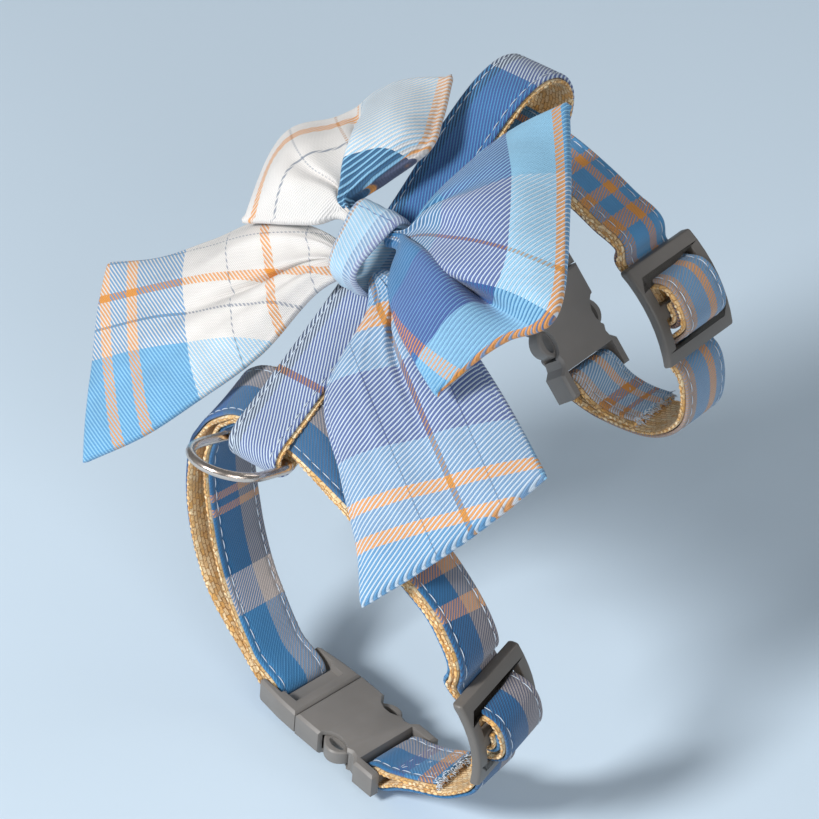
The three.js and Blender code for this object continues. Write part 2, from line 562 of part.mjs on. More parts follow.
// Each lobe is a flat cloth envelope gathered at the knot. Its rows run from the gathers to the outer seam. line
// is five evenly spaced places across the cloth, relief is how far its folds stand out at seven, and puff is the
// envelope's thickness at the row's middle.
const BOW_WALL = 1.0;
const EDGE = 1.4;                    // half the thickness at the sewn edges
const LOBES = {
  bow_near_tail: [
    { line: [[-2, -4.5, -2.8], [-3.1, -4.2, -2.8], [-4.2, -3.8, -2.8],
        [-5.1, -3.4, -2.8], [-6, -3, -2.8]],
      relief: [0, 0, 0, 0, 0, 0, 0], puff: 3.2 },
    { line: [[-1.5, -12, -2.8], [-4.2, -11.5, -2.8], [-7, -10.6, -2.8],
        [-10, -9, -2.7], [-13, -7, -2.6]],
      relief: [0, 0.8, 0.2, -0.6, 0.6, 0.8, 0], puff: 4.6 },
    { line: [[-3.3, -22, -4.5], [-10, -20, -4.3], [-17.5, -17, -4.2],
        [-25, -14, -4.3], [-33, -9.6, -4.5]],
      relief: [0, 1.8, 1.6, -0.6, 1.4, 2.6, 1.9], puff: 6.0 },
    { line: [[-9.8, -36.5, -7.4], [-19.6, -34, -7.1], [-30, -31.8, -7],
        [-40.4, -29, -7.2], [-50.4, -24.8, -7.5]],
      relief: [0, 1.8, 2.0, 0.4, 1.8, 2.6, 1.7], puff: 6.6 },
    { line: [[-17.5, -51.5, -10], [-29, -48, -9.7], [-40.8, -45.2, -9.6],
        [-52, -41.6, -9.9], [-63, -37.3, -10.3]],
      relief: [0, 1.2, 1.6, 1.0, 1.6, 1.8, 0.9], puff: 5.8 },
    { line: [[-26.3, -66.5, -12], [-38.7, -62.2, -12], [-50.5, -57, -12],
        [-61.5, -51.2, -12], [-73, -44.3, -12]],
      relief: [0, 0.6, 0.9, 0.8, 0.9, 0.6, 0], puff: 3.2 },
  ],
  bow_far_tail: [
    { line: [[-2, 4.5, -2.8], [-3.1, 4.2, -2.8], [-4.2, 3.8, -2.8],
        [-5.1, 3.4, -2.8], [-6, 3, -2.8]],
      relief: [0, 0, 0, 0, 0, 0, 0], puff: 3.2 },
    { line: [[-0.5, 12.6, -2.8], [-3.6, 12, -2.8], [-6.8, 10.9, -2.8],
        [-9.8, 9.2, -2.8], [-12.8, 7, -2.6]],
      relief: [0, 0.8, 0.2, -0.8, 0.4, 0.8, 0], puff: 4.6 },
    { line: [[-3.6, 31, -4], [-10.6, 28.2, -4], [-18.6, 23.7, -4],
        [-26, 18.6, -4], [-33.1, 12.6, -4.5]],
      relief: [0, 2.4, 1.6, -1.2, 1.8, 2.4, 0], puff: 6.0 },
    { line: [[-14.2, 44.1, -7], [-23.6, 40.5, -6.6], [-32.5, 36.2, -6.6],
        [-42, 30.2, -6.8], [-51.2, 22.7, -7]],
      relief: [0, 1.4, 2.0, 1.2, 2.2, 2.0, 0], puff: 6.6 },
    { line: [[-23.8, 56.5, -9.8], [-33.4, 52.1, -9.4], [-43.8, 46.1, -9.2],
        [-54.5, 39.2, -9.6], [-63.8, 32, -10]],
      relief: [0, 1.0, 1.6, 1.8, 1.8, 1.2, 0], puff: 5.8 },
    { line: [[-29.7, 69.2, -12], [-41.1, 63.2, -12], [-52.2, 56.1, -12],
        [-63.9, 49.5, -12], [-75, 42.6, -12]],
      relief: [0, 0.4, 0.8, 0.9, 0.8, 0.4, 0], puff: 3.2 },
  ],
  bow_near_loop: [
    { line: [[6.5, -2.5, 2.6], [5.5, -3.2, 2.6], [4.3, -3.8, 2.6],
        [3.1, -4.2, 2.6], [2, -4.5, 2.6]],
      relief: [0, 0, 0, 0, 0, 0, 0], puff: 4.0 },
    { line: [[8.8, -8.8, 2.8], [7.6, -9.4, 3.2], [6, -9.6, 3.2],
        [3.8, -9.2, 3.1], [1, -8.2, 3]],
      relief: [0, 0.8, 0.6, 0, -0.8, 0.4, 0.2], puff: 5.0 },
    { line: [[16.3, -8.6, 2.8], [12.8, -12.6, 4], [8.3, -13.8, 4],
        [2.6, -13.2, 4], [-5.2, -11.4, 3.8]],
      relief: [0, 1.8, 2.0, -0.2, -2.2, 1.2, 0.6], puff: 7.0 },
    { line: [[28.7, -11.1, 2.4], [20.1, -20.9, 5], [9.6, -24.6, 5],
        [0.2, -22.9, 5], [-13.1, -18.9, 4.6]],
      relief: [0, 2.8, 3.8, 1.0, -3.2, 1.6, 0.4], puff: 8.2 },
    { line: [[42.1, -15.9, 1], [28.3, -29.7, 4], [9, -39.6, 4],
        [-2.9, -35.4, 4.6], [-19.6, -29.6, 4.4]],
      relief: [0, 2.2, 3.4, 1.8, -3.0, 1.8, 0], puff: 7.6 },
    { line: [[53.5, -22.5, -1], [32, -38.7, 0.5], [7.1, -53.3, 2],
        [-4.9, -46, 2.6], [-24, -38.3, 3.2]],
      relief: [0, 0.6, 1.2, 0.8, -1.0, 0.8, 0], puff: 3.4 },
  ],
  bow_far_loop: [
    { line: [[6.5, 2.5, 2.6], [5.5, 3.2, 2.6], [4.3, 3.8, 2.6],
        [3.1, 4.2, 2.6], [2, 4.5, 2.6]],
      relief: [0, 0, 0, 0, 0, 0, 0], puff: 4.0 },
    { line: [[8.3, 9, 2.6], [7.4, 9.8, 3], [6, 10.2, 3.2],
        [4.4, 10.2, 3.2], [1.8, 9.4, 3]],
      relief: [0, 0.8, 0.4, -0.8, 0.2, 0.6, 0], puff: 5.0 },
    { line: [[16.6, 4.4, 2.6], [15.4, 8, 4], [12.4, 11.6, 4],
        [8.7, 13.8, 4], [0, 16, 3.4]],
      relief: [0.6, 1.8, 1.2, -1.8, 0.2, 1.4, 0], puff: 7.0 },
    { line: [[26.6, 0.4, 2], [23.9, 6.6, 4.4], [16.8, 15.2, 4],
        [9.3, 21.3, 4.2], [-1.5, 22.6, 3.4]],
      relief: [0.6, 3.0, 2.2, -2.8, 0.8, 3.0, 0], puff: 8.2 },
    { line: [[36, 3, 1], [31.8, 11.5, 3], [22, 21.4, 3],
        [11.9, 29.7, 3.4], [-3.6, 28.6, 3]],
      relief: [0, 2.6, 2.0, -2.4, 1.2, 3.0, 0], puff: 7.6 },
    { line: [[46.7, 8.3, -1], [39.3, 19.1, 0], [26.3, 27.5, 0.6],
        [15.3, 37.3, 1], [-5.5, 33.5, 1.6]],
      relief: [0, 0.8, 0.6, -1.0, 0.4, 1.0, 0], puff: 3.4 },
  ],
};

// a smooth curve through evenly spaced values, t from 0 to 1
function through(values, t) {
  const place = t * (values.length - 1);
  const i = Math.min(Math.floor(place), values.length - 2);
  const f = place - i;
  const value = (k) => values[THREE.MathUtils.clamp(k, 0, values.length - 1)];
  const [p, q, r, s] = [value(i - 1), value(i), value(i + 1), value(i + 2)];
  return q + f * (r - p + f * (2 * p - 5 * q + 4 * r - s + f * (3 * (q - r) + s - p))) / 2;
}

const acrossRow = ({ line }, t) => new THREE.Vector3(
  ...[0, 1, 2].map((axis) => through(line.map((at) => at[axis]), t)));

// one ring of points round a row's section, v from -1 to 1 along the top and back along the underside
function lobeRing(row, inset) {
  const half = acrossRow(row, 0).distanceTo(acrossRow(row, 1)) / 2;
  const across = 10;
  const ring = [];
  for (const face of [1, -1]) {
    for (let i = 0; i <= across; i += 1) {
      const v = face * (-1 + 2 * i / across);
      const at = acrossRow(row, 0.5 + 0.5 * v * (1 - inset / half));
      const thick = EDGE + (row.puff / 2 - EDGE) * Math.sqrt(1 - v * v);
      ring.push(at.addScaledVector(UP, through(row.relief, (v + 1) / 2) + face * (thick - inset)));
    }
  }
  return ring;
}

function lobeGeometry(rows) {
  const rings = rows.map((row) => lobeRing(row, 0));
  const inner = rows.map((row) => lobeRing(row, BOW_WALL));
  const pulled = inner[inner.length - 1].map((p, k) => p.clone().lerp(inner[inner.length - 2][k], 0.1));
  inner[inner.length - 1] = pulled;
  const count = rings[0].length;
  const positions = [...rings.flat(), ...inner.flat()].flatMap((p) => p.toArray());
  const skin = rings.length * count;
  const index = [];
  const quad = (a, b, c, d) => index.push(a, b, c, a, c, d);
  for (let k = 0; k < count; k += 1) {
    const n = (k + 1) % count;
    for (let i = 0; i + 1 < rings.length; i += 1) {
      const o = i * count;
      quad(o + k, o + n, o + count + n, o + count + k);
      quad(skin + o + k, skin + o + count + k, skin + o + count + n, skin + o + n);
    }
    quad(k, skin + k, skin + n, n);
  }
  // the closed outer end: top point i joins underside point count - 1 - i
  const cap = (start, flip) => {
    const half = count / 2;
    for (let i = 0; i + 1 < half; i += 1) {
      const corners = [start + i, start + i + 1, start + count - 2 - i, start + count - 1 - i];
      if (flip) corners.reverse();
      quad(...corners);
    }
  };
  cap((rings.length - 1) * count, false);
  cap(skin + (rings.length - 1) * count, true);
  return outwardGeometry(positions, index);
}

for (const [name, rows] of Object.entries(LOBES)) addMesh(name, lobeGeometry(rows), 'bowCloth', bow);

// The knot: a band of cloth wrapped once round the gathers and closed on itself under the bow. Its narrow end
// is towards the tails.
const KNOT = { long: 21, wide: 14.5, pinch: 8, top: 8.2, bottom: -7, wall: 1.4, crown: 0.5 };

function knotGeometry() {
  const steps = 20;
  const squared = (v) => Math.sign(v) * Math.sqrt(Math.abs(v));
  const rings = [];
  for (let i = 0; i < steps; i += 1) {
    const angle = 2 * Math.PI * (i + 0.5) / steps;
    const x = KNOT.long / 2 * squared(Math.cos(angle));
    const z = (angle < Math.PI ? KNOT.top : -KNOT.bottom) * squared(Math.sin(angle));
    const at = (inset, side) => [
      x * (1 - 2 * inset / KNOT.long),
      side * THREE.MathUtils.lerp(KNOT.pinch, KNOT.wide, x / KNOT.long + 0.5) / 2,
      z * (1 - inset / KNOT.top),
    ];
    rings.push([
      at(KNOT.wall, -1), at(KNOT.crown, -1), at(0, -0.55), at(0, 0.55), at(KNOT.crown, 1), at(KNOT.wall, 1),
    ]);
  }
  const count = rings[0].length;
  const index = [];
  for (let i = 0; i < steps; i += 1) {
    for (let k = 0; k < count; k += 1) {
      const a = i * count + k;
      const b = i * count + ((k + 1) % count);
      const c = ((i + 1) % steps) * count + k;
      const d = ((i + 1) % steps) * count + ((k + 1) % count);
      index.push(a, b, d, a, d, c);
    }
  }
  return outwardGeometry(rings.flat(2), index);
}
addMesh('bow_knot', knotGeometry(), 'bowCloth', bow);

// ---- origin: the underside of the fold, below the middle of the girth strap's crossing ----
const SEAT = inBackPlane(...slope(GIRTH_AT, rise(GIRTH_AT) - FOLD_DROP - STRAP / 2));
harness.position.copy(SEAT).negate();

export default harness;
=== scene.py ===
import math

import bpy
import numpy as np
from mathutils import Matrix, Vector


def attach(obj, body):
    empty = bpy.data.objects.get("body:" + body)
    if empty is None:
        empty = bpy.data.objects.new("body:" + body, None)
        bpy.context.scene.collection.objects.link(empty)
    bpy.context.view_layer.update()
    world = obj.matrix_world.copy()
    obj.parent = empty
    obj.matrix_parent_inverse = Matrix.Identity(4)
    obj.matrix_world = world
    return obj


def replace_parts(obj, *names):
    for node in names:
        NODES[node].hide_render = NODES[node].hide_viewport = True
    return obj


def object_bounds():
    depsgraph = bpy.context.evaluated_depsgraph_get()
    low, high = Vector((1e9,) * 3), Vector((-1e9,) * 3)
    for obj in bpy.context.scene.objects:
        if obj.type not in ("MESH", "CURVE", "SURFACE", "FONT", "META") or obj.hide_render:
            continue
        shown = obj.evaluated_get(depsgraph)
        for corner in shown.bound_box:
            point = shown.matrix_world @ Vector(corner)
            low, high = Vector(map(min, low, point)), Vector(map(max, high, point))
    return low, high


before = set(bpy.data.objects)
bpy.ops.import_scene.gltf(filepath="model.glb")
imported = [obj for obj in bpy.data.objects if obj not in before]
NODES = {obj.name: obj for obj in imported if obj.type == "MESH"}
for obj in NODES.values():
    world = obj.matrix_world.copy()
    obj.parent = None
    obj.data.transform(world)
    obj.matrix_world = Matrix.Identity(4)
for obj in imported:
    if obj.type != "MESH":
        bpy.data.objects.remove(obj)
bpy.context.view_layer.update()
MM = 0.001
chance = np.random.default_rng(7)

# %% [markdown]
# The cloth is yarn-dyed: every thread has its colour before it is woven. Colours are written as sRGB hex,
# the way a dyer's card would list them, and one function turns them into the linear values that shaders
# need.
# %% Thread colours


def linear(code):
    values = [int(code[i:i + 2], 16) / 255 for i in (1, 3, 5)]
    return [v / 12.92 if v <= 0.04045 else ((v + 0.055) / 1.055) ** 2.4 for v in values] + [1.0]


THREADS = {
    "white": linear("#e2deda"),
    "cream": linear("#dccabd"),
    "ice": linear("#ccdae6"),
    "pale": linear("#8ec3e2"),
    "denim": linear("#6893bd"),
    "sky": linear("#4c90c2"),
    "blue": linear("#1f6a9d"),
    "teal": linear("#174f78"),
    "indigo": linear("#3b5394"),
    "navy": linear("#22375f"),
    "violet": linear("#6f79aa"),
    "grey": linear("#8a919c"),
    "slate": linear("#58677c"),
    "rose": linear("#a39a98"),
    "orange": linear("#e0943c"),
    "umber": linear("#b98d5c"),
    "tan": linear("#b98a62"),
}
print("threads:", ", ".join(THREADS))

# %% [markdown]
# Every material is a small tree of shader nodes. One function adds a node, sets it up and links it, so that
# a tree is built in the order in which the colour is worked out. Where a node is given as a value, its
# first output is meant.
# %% Shader helpers


def new_material(name, **values):
    made = bpy.data.materials.new(name)
    made.use_nodes = True
    shader = made.node_tree.nodes["Principled BSDF"]
    for key, value in values.items():
        shader.inputs[key.replace("_", " ")].default_value = value
    return made, made.node_tree, shader


def add(tree, kind, sockets=(), **settings):
    node = tree.nodes.new("ShaderNode" + kind)
    for key, value in settings.items():
        setattr(node, key, value)
    for key, value in dict(sockets).items():
        if isinstance(value, bpy.types.Node):
            value = value.outputs[0]
        if isinstance(value, bpy.types.NodeSocket):
            tree.links.new(value, node.inputs[key])
        else:
            node.inputs[key].default_value = value
    return node


def tint(tree, shader, colour, tone):
    # nothing woven or moulded is quite even, so the tone makes the colour darker or lighter from place to
    # place; on the plaid cloth it also carries painted shade in the valleys between ribs and yarns
    grey = add(tree, "CombineColor", {0: tone, 1: tone, 2: tone})
    toned = add(tree, "Mix", {0: 1.0, 6: colour, 7: grey}, data_type="RGBA", blend_type="MULTIPLY")
    tree.links.new(toned.outputs[2], shader.inputs["Base Color"])


# %% [markdown]
# A plaid is two charts of coloured threads that cross: the warp's stripes run along the cloth and the
# weft's run across it. A chart here is a list of (thread, up to this many millimetres), as a weaver would
# write it, and a constant colour ramp reads it, so no image is needed. The first entry also sets where the
# ramp begins, LEAD_IN before its end; past both ends the outer threads go on. A ramp is rendered in 256
# steps, so on a long chart a stripe's edge may lie a millimetre or two off.
# %% Thread charts
LEAD_IN = 10


def chart_ramp(tree, position, chart):
    first, last = chart[0][1] - LEAD_IN, chart[-1][1]
    place = add(tree, "MapRange", {0: position, 1: first, 2: last, 3: 0.0, 4: 1.0})
    ramp = add(tree, "ValToRGB", {0: place})
    ramp.color_ramp.interpolation = "CONSTANT"
    stops = ramp.color_ramp.elements
    stops[0].position = 0
    stops[0].color = THREADS[chart[0][0]]
    stops.remove(stops[1])
    for (_, begins), (thread, _) in zip(chart, chart[1:]):
        stops.new((begins - first) / (last - first)).color = THREADS[thread]
    return ramp


# %% [markdown]
# In twill the weft passes over two warp threads and under two, one thread further on in each row, which
# makes diagonal ribs a little under a millimetre apart. One sine wave across the cloth stands for them, and
# the yarns that make up a rib are a second, finer wave across it. Waves stay sharp however close the camera
# comes, and the same ones raise the surface.
# %% Twill ribs


def rib_count(tree, flat, x, y, rib, slant):
    # ribs passed on the way to this place; a slow noise keeps them from running dead straight
    turn = math.radians(slant)
    wander = add(tree, "TexNoise", {"Vector": flat, "Scale": 0.35, "Detail": 1.0})
    across = add(tree, "Math", {0: y, 1: math.sin(turn) / rib}, operation="MULTIPLY")
    straight = add(tree, "Math", {0: x, 1: math.cos(turn) / rib, 2: across}, operation="MULTIPLY_ADD")
    return add(tree, "Math", {0: wander, 1: 0.14, 2: straight}, operation="MULTIPLY_ADD")


def yarn_backs(tree, ribs, y):
    # 2.6 yarns to the millimetre, each rib's a third of a yarn further on than the last one's
    row = add(tree, "Math", {0: ribs}, operation="FLOOR")
    ahead = add(tree, "Math", {0: row, 1: 0.37}, operation="MULTIPLY")
    step = add(tree, "Math", {0: y, 1: 2.6, 2: ahead}, operation="MULTIPLY_ADD")
    turn = add(tree, "Math", {0: step, 1: math.pi}, operation="MULTIPLY")
    wave = add(tree, "Math", {0: turn}, operation="SINE")
    return add(tree, "Math", {0: wave}, operation="ABSOLUTE")


def cloth_shade_and_tone(tree, flat, rise, yarn):
    # painted shade: darker in the valleys between ribs and between yarns, where shade falls, and cloudy over
    # eight millimetres or so
    rib_valley_shade = add(tree, "MapRange", {0: rise, 1: 0.0, 2: 0.7, 3: 0.80, 4: 1.0})
    # painted shade between the yarns, darkest where each yarn dips
    grain = add(tree, "MapRange", {0: yarn, 1: 0.0, 2: 1.0, 3: 0.82, 4: 1.05})
    cloud = add(tree, "TexNoise", {"Vector": flat, "Scale": 0.12, "Detail": 2.0})
    blotch = add(tree, "MapRange", {0: cloud, 1: 0.3, 2: 0.7, 3: 0.94, 4: 1.05})
    tone = add(tree, "Math", {0: rib_valley_shade, 1: grain}, operation="MULTIPLY")
    return add(tree, "Math", {0: tone, 1: blotch}, operation="MULTIPLY")


# %% [markdown]
# Every rib shows warp on one part and weft on the other, so a stripe is seen in ribs where it crosses
# another colour and solid where it crosses its own. `share` is the weft's part of a rib: half in an even
# twill, more where the weft is beaten in hard. `show` says how purely each part shows its own thread,
# because some of the other always peeps through. Dyed spun yarn is rough and has a faint bloom of loose
# fibres, which is the sheen.
# %% Plaid twill
SOFT_EDGE = 0.35
RIB_HEIGHT = 0.2


def plaid_twill(name, warp, weft, rib=0.95, slant=40, share=0.5, show=0.84):
    made, tree, shader = new_material(name, Roughness=0.82, Sheen_Weight=0.25, Sheen_Roughness=0.5)
    cut = add(tree, "SeparateXYZ", {0: add(tree, "UVMap", uv_map="cut")})
    flat = add(tree, "UVMap", uv_map="weave")
    x, y = add(tree, "SeparateXYZ", {0: flat}).outputs[:2]
    ribs = rib_count(tree, flat, x, y, rib, slant)
    turn = add(tree, "Math", {0: ribs, 1: 2 * math.pi}, operation="MULTIPLY")
    hump = add(tree, "Math", {0: turn}, operation="SINE")
    rise = add(tree, "Math", {0: hump}, operation="ABSOLUTE")
    yarn = yarn_backs(tree, ribs, y)
    edge = math.cos(math.pi * share)
    over = add(tree, "MapRange", {0: hump, 1: edge - SOFT_EDGE, 2: edge + SOFT_EDGE, 3: 1 - show, 4: show})
    threads = add(tree, "Mix", {0: over, 6: chart_ramp(tree, cut.outputs[1], warp),
                                7: chart_ramp(tree, cut.outputs[0], weft)}, data_type="RGBA")
    tint(tree, shader, threads.outputs[2], cloth_shade_and_tone(tree, flat, rise, yarn))
    height = add(tree, "Math", {0: yarn, 1: 0.35, 2: rise}, operation="MULTIPLY_ADD")
    bump = add(tree, "Bump", {"Height": height, "Strength": 0.55, "Distance": RIB_HEIGHT * MM})
    tree.links.new(bump.outputs[0], shader.inputs["Normal"])
    return made


# %% [markdown]
# The straps' cloth has wider stripes than its width, so each loop shows its own part of the pattern. Across
# is measured from the strap's middle, and along from the sewn flap at the female buckle. The back strap's
# cloth is turned over, so its ribs slant the other way.
# %% Cloth of the straps
# where the girth's inner run lies in the shade of the ring and the bow, its stripes are charted darker than
# the cloth's own colour: painted shade
GIRTH_CLOTH = plaid_twill(
    "plaid_twill_girth",
    warp=[("blue", -8), ("blue", 0.8), ("rose", 9)],
    weft=[("sky", 0), ("orange", 3), ("sky", 9), ("indigo", 12), ("blue", 62), ("navy", 124.6),
          ("orange", 129.2), ("teal", 134.8), ("orange", 139.2), ("teal", 150), ("navy", 162),
          ("slate", 210), ("indigo", 262), ("blue", 300), ("sky", 322), ("navy", 323), ("sky", 334),
          ("navy", 335.2), ("cream", 346), ("teal", 362.4), ("orange", 364.6), ("teal", 366.8),
          ("orange", 369), ("teal", 394), ("sky", 540)],
    rib=0.68, slant=-50, share=0.38)
NECK_CLOTH = plaid_twill(
    "plaid_twill_neck",
    warp=[("tan", -8), ("tan", -4.2), ("sky", 0.9), ("orange", 3.5), ("sky", 9)],
    weft=[("ice", 2.5), ("orange", 4.5), ("ice", 8), ("orange", 10.5), ("ice", 20), ("slate", 40),
          ("grey", 124), ("sky", 132.2), ("orange", 135.8), ("sky", 141.4), ("orange", 145),
          ("sky", 150.4), ("orange", 154), ("sky", 159.4), ("orange", 163), ("blue", 175),
          ("indigo", 200), ("teal", 300), ("navy", 400)],
    rib=0.66, slant=-25)
BACK_CLOTH = plaid_twill(
    "plaid_twill_back",
    warp=[("navy", -8), ("navy", -3.6), ("indigo", 5.0), ("indigo", 9)],
    weft=[("ice", 45), ("ice", 71), ("tan", 73.2), ("ice", 104), ("sky", 164), ("ice", 186),
          ("indigo", 270)],
    rib=0.78, slant=64, share=0.46, show=0.93)
print("strap cloths made")

# %% [markdown]
# Polyester webbing is woven from much thicker yarn, dull and a little hairy, so its weave is drawn as small
# staggered blocks, 1.9 by 1 mm, with darker gaps between them, which are painted shade. The blocks stray
# from their places, because soft yarn never lies quite straight, and the same blocks raise the surface.
# Sewing thread is smoother than either cloth, and the ends of cut yarn are pale, because their fibres
# spread.
# %% Webbing
BLOCK = {"Brick Width": 1.9, "Row Height": 1.0, "Mortar Size": 0.16, "Mortar Smooth": 1.0}


def woven_webbing(name, light, deep, gap_shade):
    made, tree, shader = new_material(name, Roughness=0.88, Sheen_Weight=0.25)
    flat = add(tree, "UVMap", uv_map="weave")
    noise = add(tree, "TexNoise", {"Vector": flat, "Scale": 0.9, "Detail": 2.0}).outputs[1]
    stray = add(tree, "VectorMath", {0: noise, 1: (0.5, 0.5, 0.5)}, operation="SUBTRACT")
    place = add(tree, "VectorMath", {0: stray, 1: (1.5, 0.9, 0.0), 2: flat}, operation="MULTIPLY_ADD")
    # the mortar colour is painted shade in the gaps between the blocks
    blocks = add(tree, "TexBrick", {"Vector": place, "Color1": linear(light), "Color2": linear(deep),
                                    "Mortar": linear(gap_shade), "Scale": 1.0, "Bias": 0.0, **BLOCK}, offset=0.5)
    fuzz = add(tree, "TexNoise", {"Vector": flat, "Scale": 3.4, "Detail": 4.0})
    cloud = add(tree, "TexNoise", {"Vector": flat, "Scale": 0.16, "Detail": 2.0})
    fine = add(tree, "MapRange", {0: fuzz, 1: 0.3, 2: 0.7, 3: 0.80, 4: 1.10})
    broad = add(tree, "MapRange", {0: cloud, 1: 0.35, 2: 0.65, 3: 0.86, 4: 1.06})
    tint(tree, shader, blocks.outputs[0], add(tree, "Math", {0: fine, 1: broad}, operation="MULTIPLY"))
    lint = add(tree, "Math", {0: fuzz, 1: 0.7}, operation="MULTIPLY")
    height = add(tree, "Math", {0: lint, 1: blocks.outputs[1]}, operation="SUBTRACT")
    bump = add(tree, "Bump", {"Height": height, "Strength": 0.8, "Distance": 0.3 * MM})
    tree.links.new(bump.outputs[0], shader.inputs["Normal"])
    return made


# the third colour is painted shade for the gaps between the blocks
WEBBING = woven_webbing("woven_polyester_webbing", "#fde6bb", "#efba6e", "#c98d43")
THREAD, _, _ = new_material("stitching_thread", Base_Color=linear("#c3ceda"), Roughness=0.6,
                            Sheen_Weight=0.2)
FRAY, _, _ = new_material("cut_yarn_ends", Base_Color=linear("#cdd6e0"), Roughness=0.8)
print("webbing and thread made")

# %% [markdown]
# The straps are read from the frame: each layer there is a band with four corners at every station. Walking
# from an end cap, corner by corner, gives the stations back in order, so the fine surfaces follow the CAD
# ones.
# %% Read a band's stations
SAME_PLACE = 0.004


def weld(node):
    # corners of different triangles that share a place become one point
    places, index, order = [], {}, []
    for vertex in node.data.vertices:
        key = tuple(round(c / (SAME_PLACE * MM)) for c in vertex.co)
        near = [(key[0] + a, key[1] + b, key[2] + c)
                for a in (0, -1, 1) for b in (0, -1, 1) for c in (0, -1, 1)]
        found = next((index[k] for k in near if k in index), None)
        if found is None:
            found = index[key] = len(places)
            places.append(np.array(vertex.co) / MM)
        order.append(found)
    return np.array(places), [[order[i] for i in face.vertices] for face in node.data.polygons]


def band_stations(node):
    # pairs of triangles are tried as the end cap; from the true one, every step finds four corners
    places, faces = weld(node)
    near = [set() for _ in places]
    beside = {}
    for number, face in enumerate(faces):
        for k in range(3):
            near[face[k]].update((face[k - 1], face[k - 2]))
            beside.setdefault(frozenset((face[k], face[k - 1])), []).append(number)
    for pair in beside.values():
        cap = set(faces[pair[0]]) | set(faces[pair[-1]])
        levels, seen = [cap], set(cap)
        while len(levels[-1]) == 4:
            levels.append(set().union(*(near[i] for i in levels[-1])) - seen)
            seen |= levels[-1]
        if not levels[-1] and len(seen) == len(places):
            return [places[sorted(level)] for level in levels[:-1]]
    raise RuntimeError("no end cap found on " + node.name)


def width_of(corners):
    # the longest way across four corners of a thin rectangle, as a unit vector
    _, _, axes = np.linalg.svd(corners - corners.mean(0))
    return axes[0]


# %% [markdown]
# A route is a strap's middle line with its outward side and its width direction at every station. Between
# stations it is filled in with smooth cubic pieces, so that a fine mesh has no corners.
# %% Strap routes


def unit(v):
    return v / np.linalg.norm(v, axis=-1, keepdims=True)


def smooth_between(knots, values, at):
    slopes = np.gradient(values, knots, axis=0)
    k = np.clip(np.searchsorted(knots, at) - 1, 0, len(knots) - 2)
    span = (knots[k + 1] - knots[k])[:, None]
    t = (at - knots[k])[:, None] / span
    return ((2 * t**3 - 3 * t**2 + 1) * values[k] + (t**3 - 2 * t**2 + t) * span * slopes[k]
            + (3 * t**2 - 2 * t**3) * values[k + 1] + (t**3 - t**2) * span * slopes[k + 1])


def strap_route(name, spacing):
    inner = band_stations(NODES[name + "_webbing"])
    outer = band_stations(NODES[name + "_facing"])
    middle = np.array([(a.mean(0) + b.mean(0)) / 2 for a, b in zip(inner, outer)])
    out = np.array([b.mean(0) - a.mean(0) for a, b in zip(inner, outer)])
    along = np.gradient(middle, axis=0)
    side = np.array([width_of(a) for a in inner])
    turn = np.sign((np.cross(along, out) * side).sum(1))
    side = side * turn[:, None]
    run = np.r_[0, np.cumsum(np.linalg.norm(np.diff(middle, axis=0), axis=1))]
    at = np.linspace(0, run[-1], int(run[-1] / spacing) + 1)
    place = smooth_between(run, middle, at)
    ways = unit(np.gradient(place, at, axis=0))
    across = smooth_between(run, unit(side), at)
    across = unit(across - (across * ways).sum(1)[:, None] * ways)
    return {"at": at, "place": place, "along": ways, "across": across, "out": np.cross(across, ways)}


STRAPS = {name: strap_route(name, 0.26) for name in ("girth_strap", "neck_strap", "back_strap")}
for name, route in STRAPS.items():
    print(name, "is", round(route["at"][-1]), "mm long")

# %% [markdown]
# A mesh is made from rings of points with the same count. It carries two maps in millimetres: `cut`, the
# place on the flat cloth that the colours follow, and `weave`, which the ribs follow. Keeping them apart
# lets cloth be gathered or drawn aside while its ribs keep their size.
# %% Mesh from rings


def new_piece(name, mesh, material):
    mesh.materials.clear()
    mesh.materials.append(material)
    made = bpy.data.objects.new(name, mesh)
    bpy.context.scene.collection.objects.link(made)
    return made


def shade_round(mesh):
    mesh.polygons.foreach_set("use_smooth", [True] * len(mesh.polygons))


def mesh_from_rings(name, rings, maps, material, caps=True):
    rings = np.asarray(rings)
    count, around = rings.shape[:2]
    base = np.arange(count * around).reshape(count, around)
    ends = np.concatenate([base, base[:, :1]], 1)
    quads = np.stack([ends[:-1, :-1], ends[:-1, 1:], ends[1:, 1:], ends[1:, :-1]], -1)
    faces = quads.reshape(-1, 4).tolist()
    if caps:
        faces += [base[0][::-1].tolist(), base[-1].tolist()]
    mesh = bpy.data.meshes.new(name)
    mesh.from_pydata((rings.reshape(-1, 3) * MM).tolist(), [], faces)
    loops = np.array([loop.vertex_index for loop in mesh.loops])
    for label, values in maps.items():
        flat = np.asarray(values, float).reshape(-1, 2)[loops]
        mesh.uv_layers.new(name=label).data.foreach_set("uv", flat.ravel())
    shade_round(mesh)
    mesh.update()
    made = new_piece(name, mesh, material)
    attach(made, "harness")
    return made


# %% [markdown]
# Both layers are swept along their strap's route as closed bands of the real thickness. The sizes are half
# widths and distances out from the middle line, and `ROW` is how far from it each line of stitches runs.
# %% Sizes of the bands
STITCH = {"from_edge": 2.1, "pitch": 3.6, "length": 2.9, "thick": 0.13}
BOX = {"start": 2.2, "length": 10.5, "half": 5.6}
FACING = {"half": 7.45, "low": 0.15, "high": 1.12}
BAND = {"half": 8.15, "low": -1.12, "high": -0.15, "yarn": 1.7}
ROW = 8 - STITCH["from_edge"]


def swept(route, across, out):
    return (route["place"][:, None] + route["across"][:, None] * across[..., None]
            + route["out"][:, None] * out[..., None])


def flat_map(at, across):
    where = np.stack(np.broadcast_arrays(at[:, None], across), -1)
    return {"cut": where, "weave": where}


# %% [markdown]
# The webbing's edges are scalloped, because its thick yarn turns back there every 1.7 mm, a little
# unevenly. Its underside is ribbed by the same yarn.
# %% Webbing bands


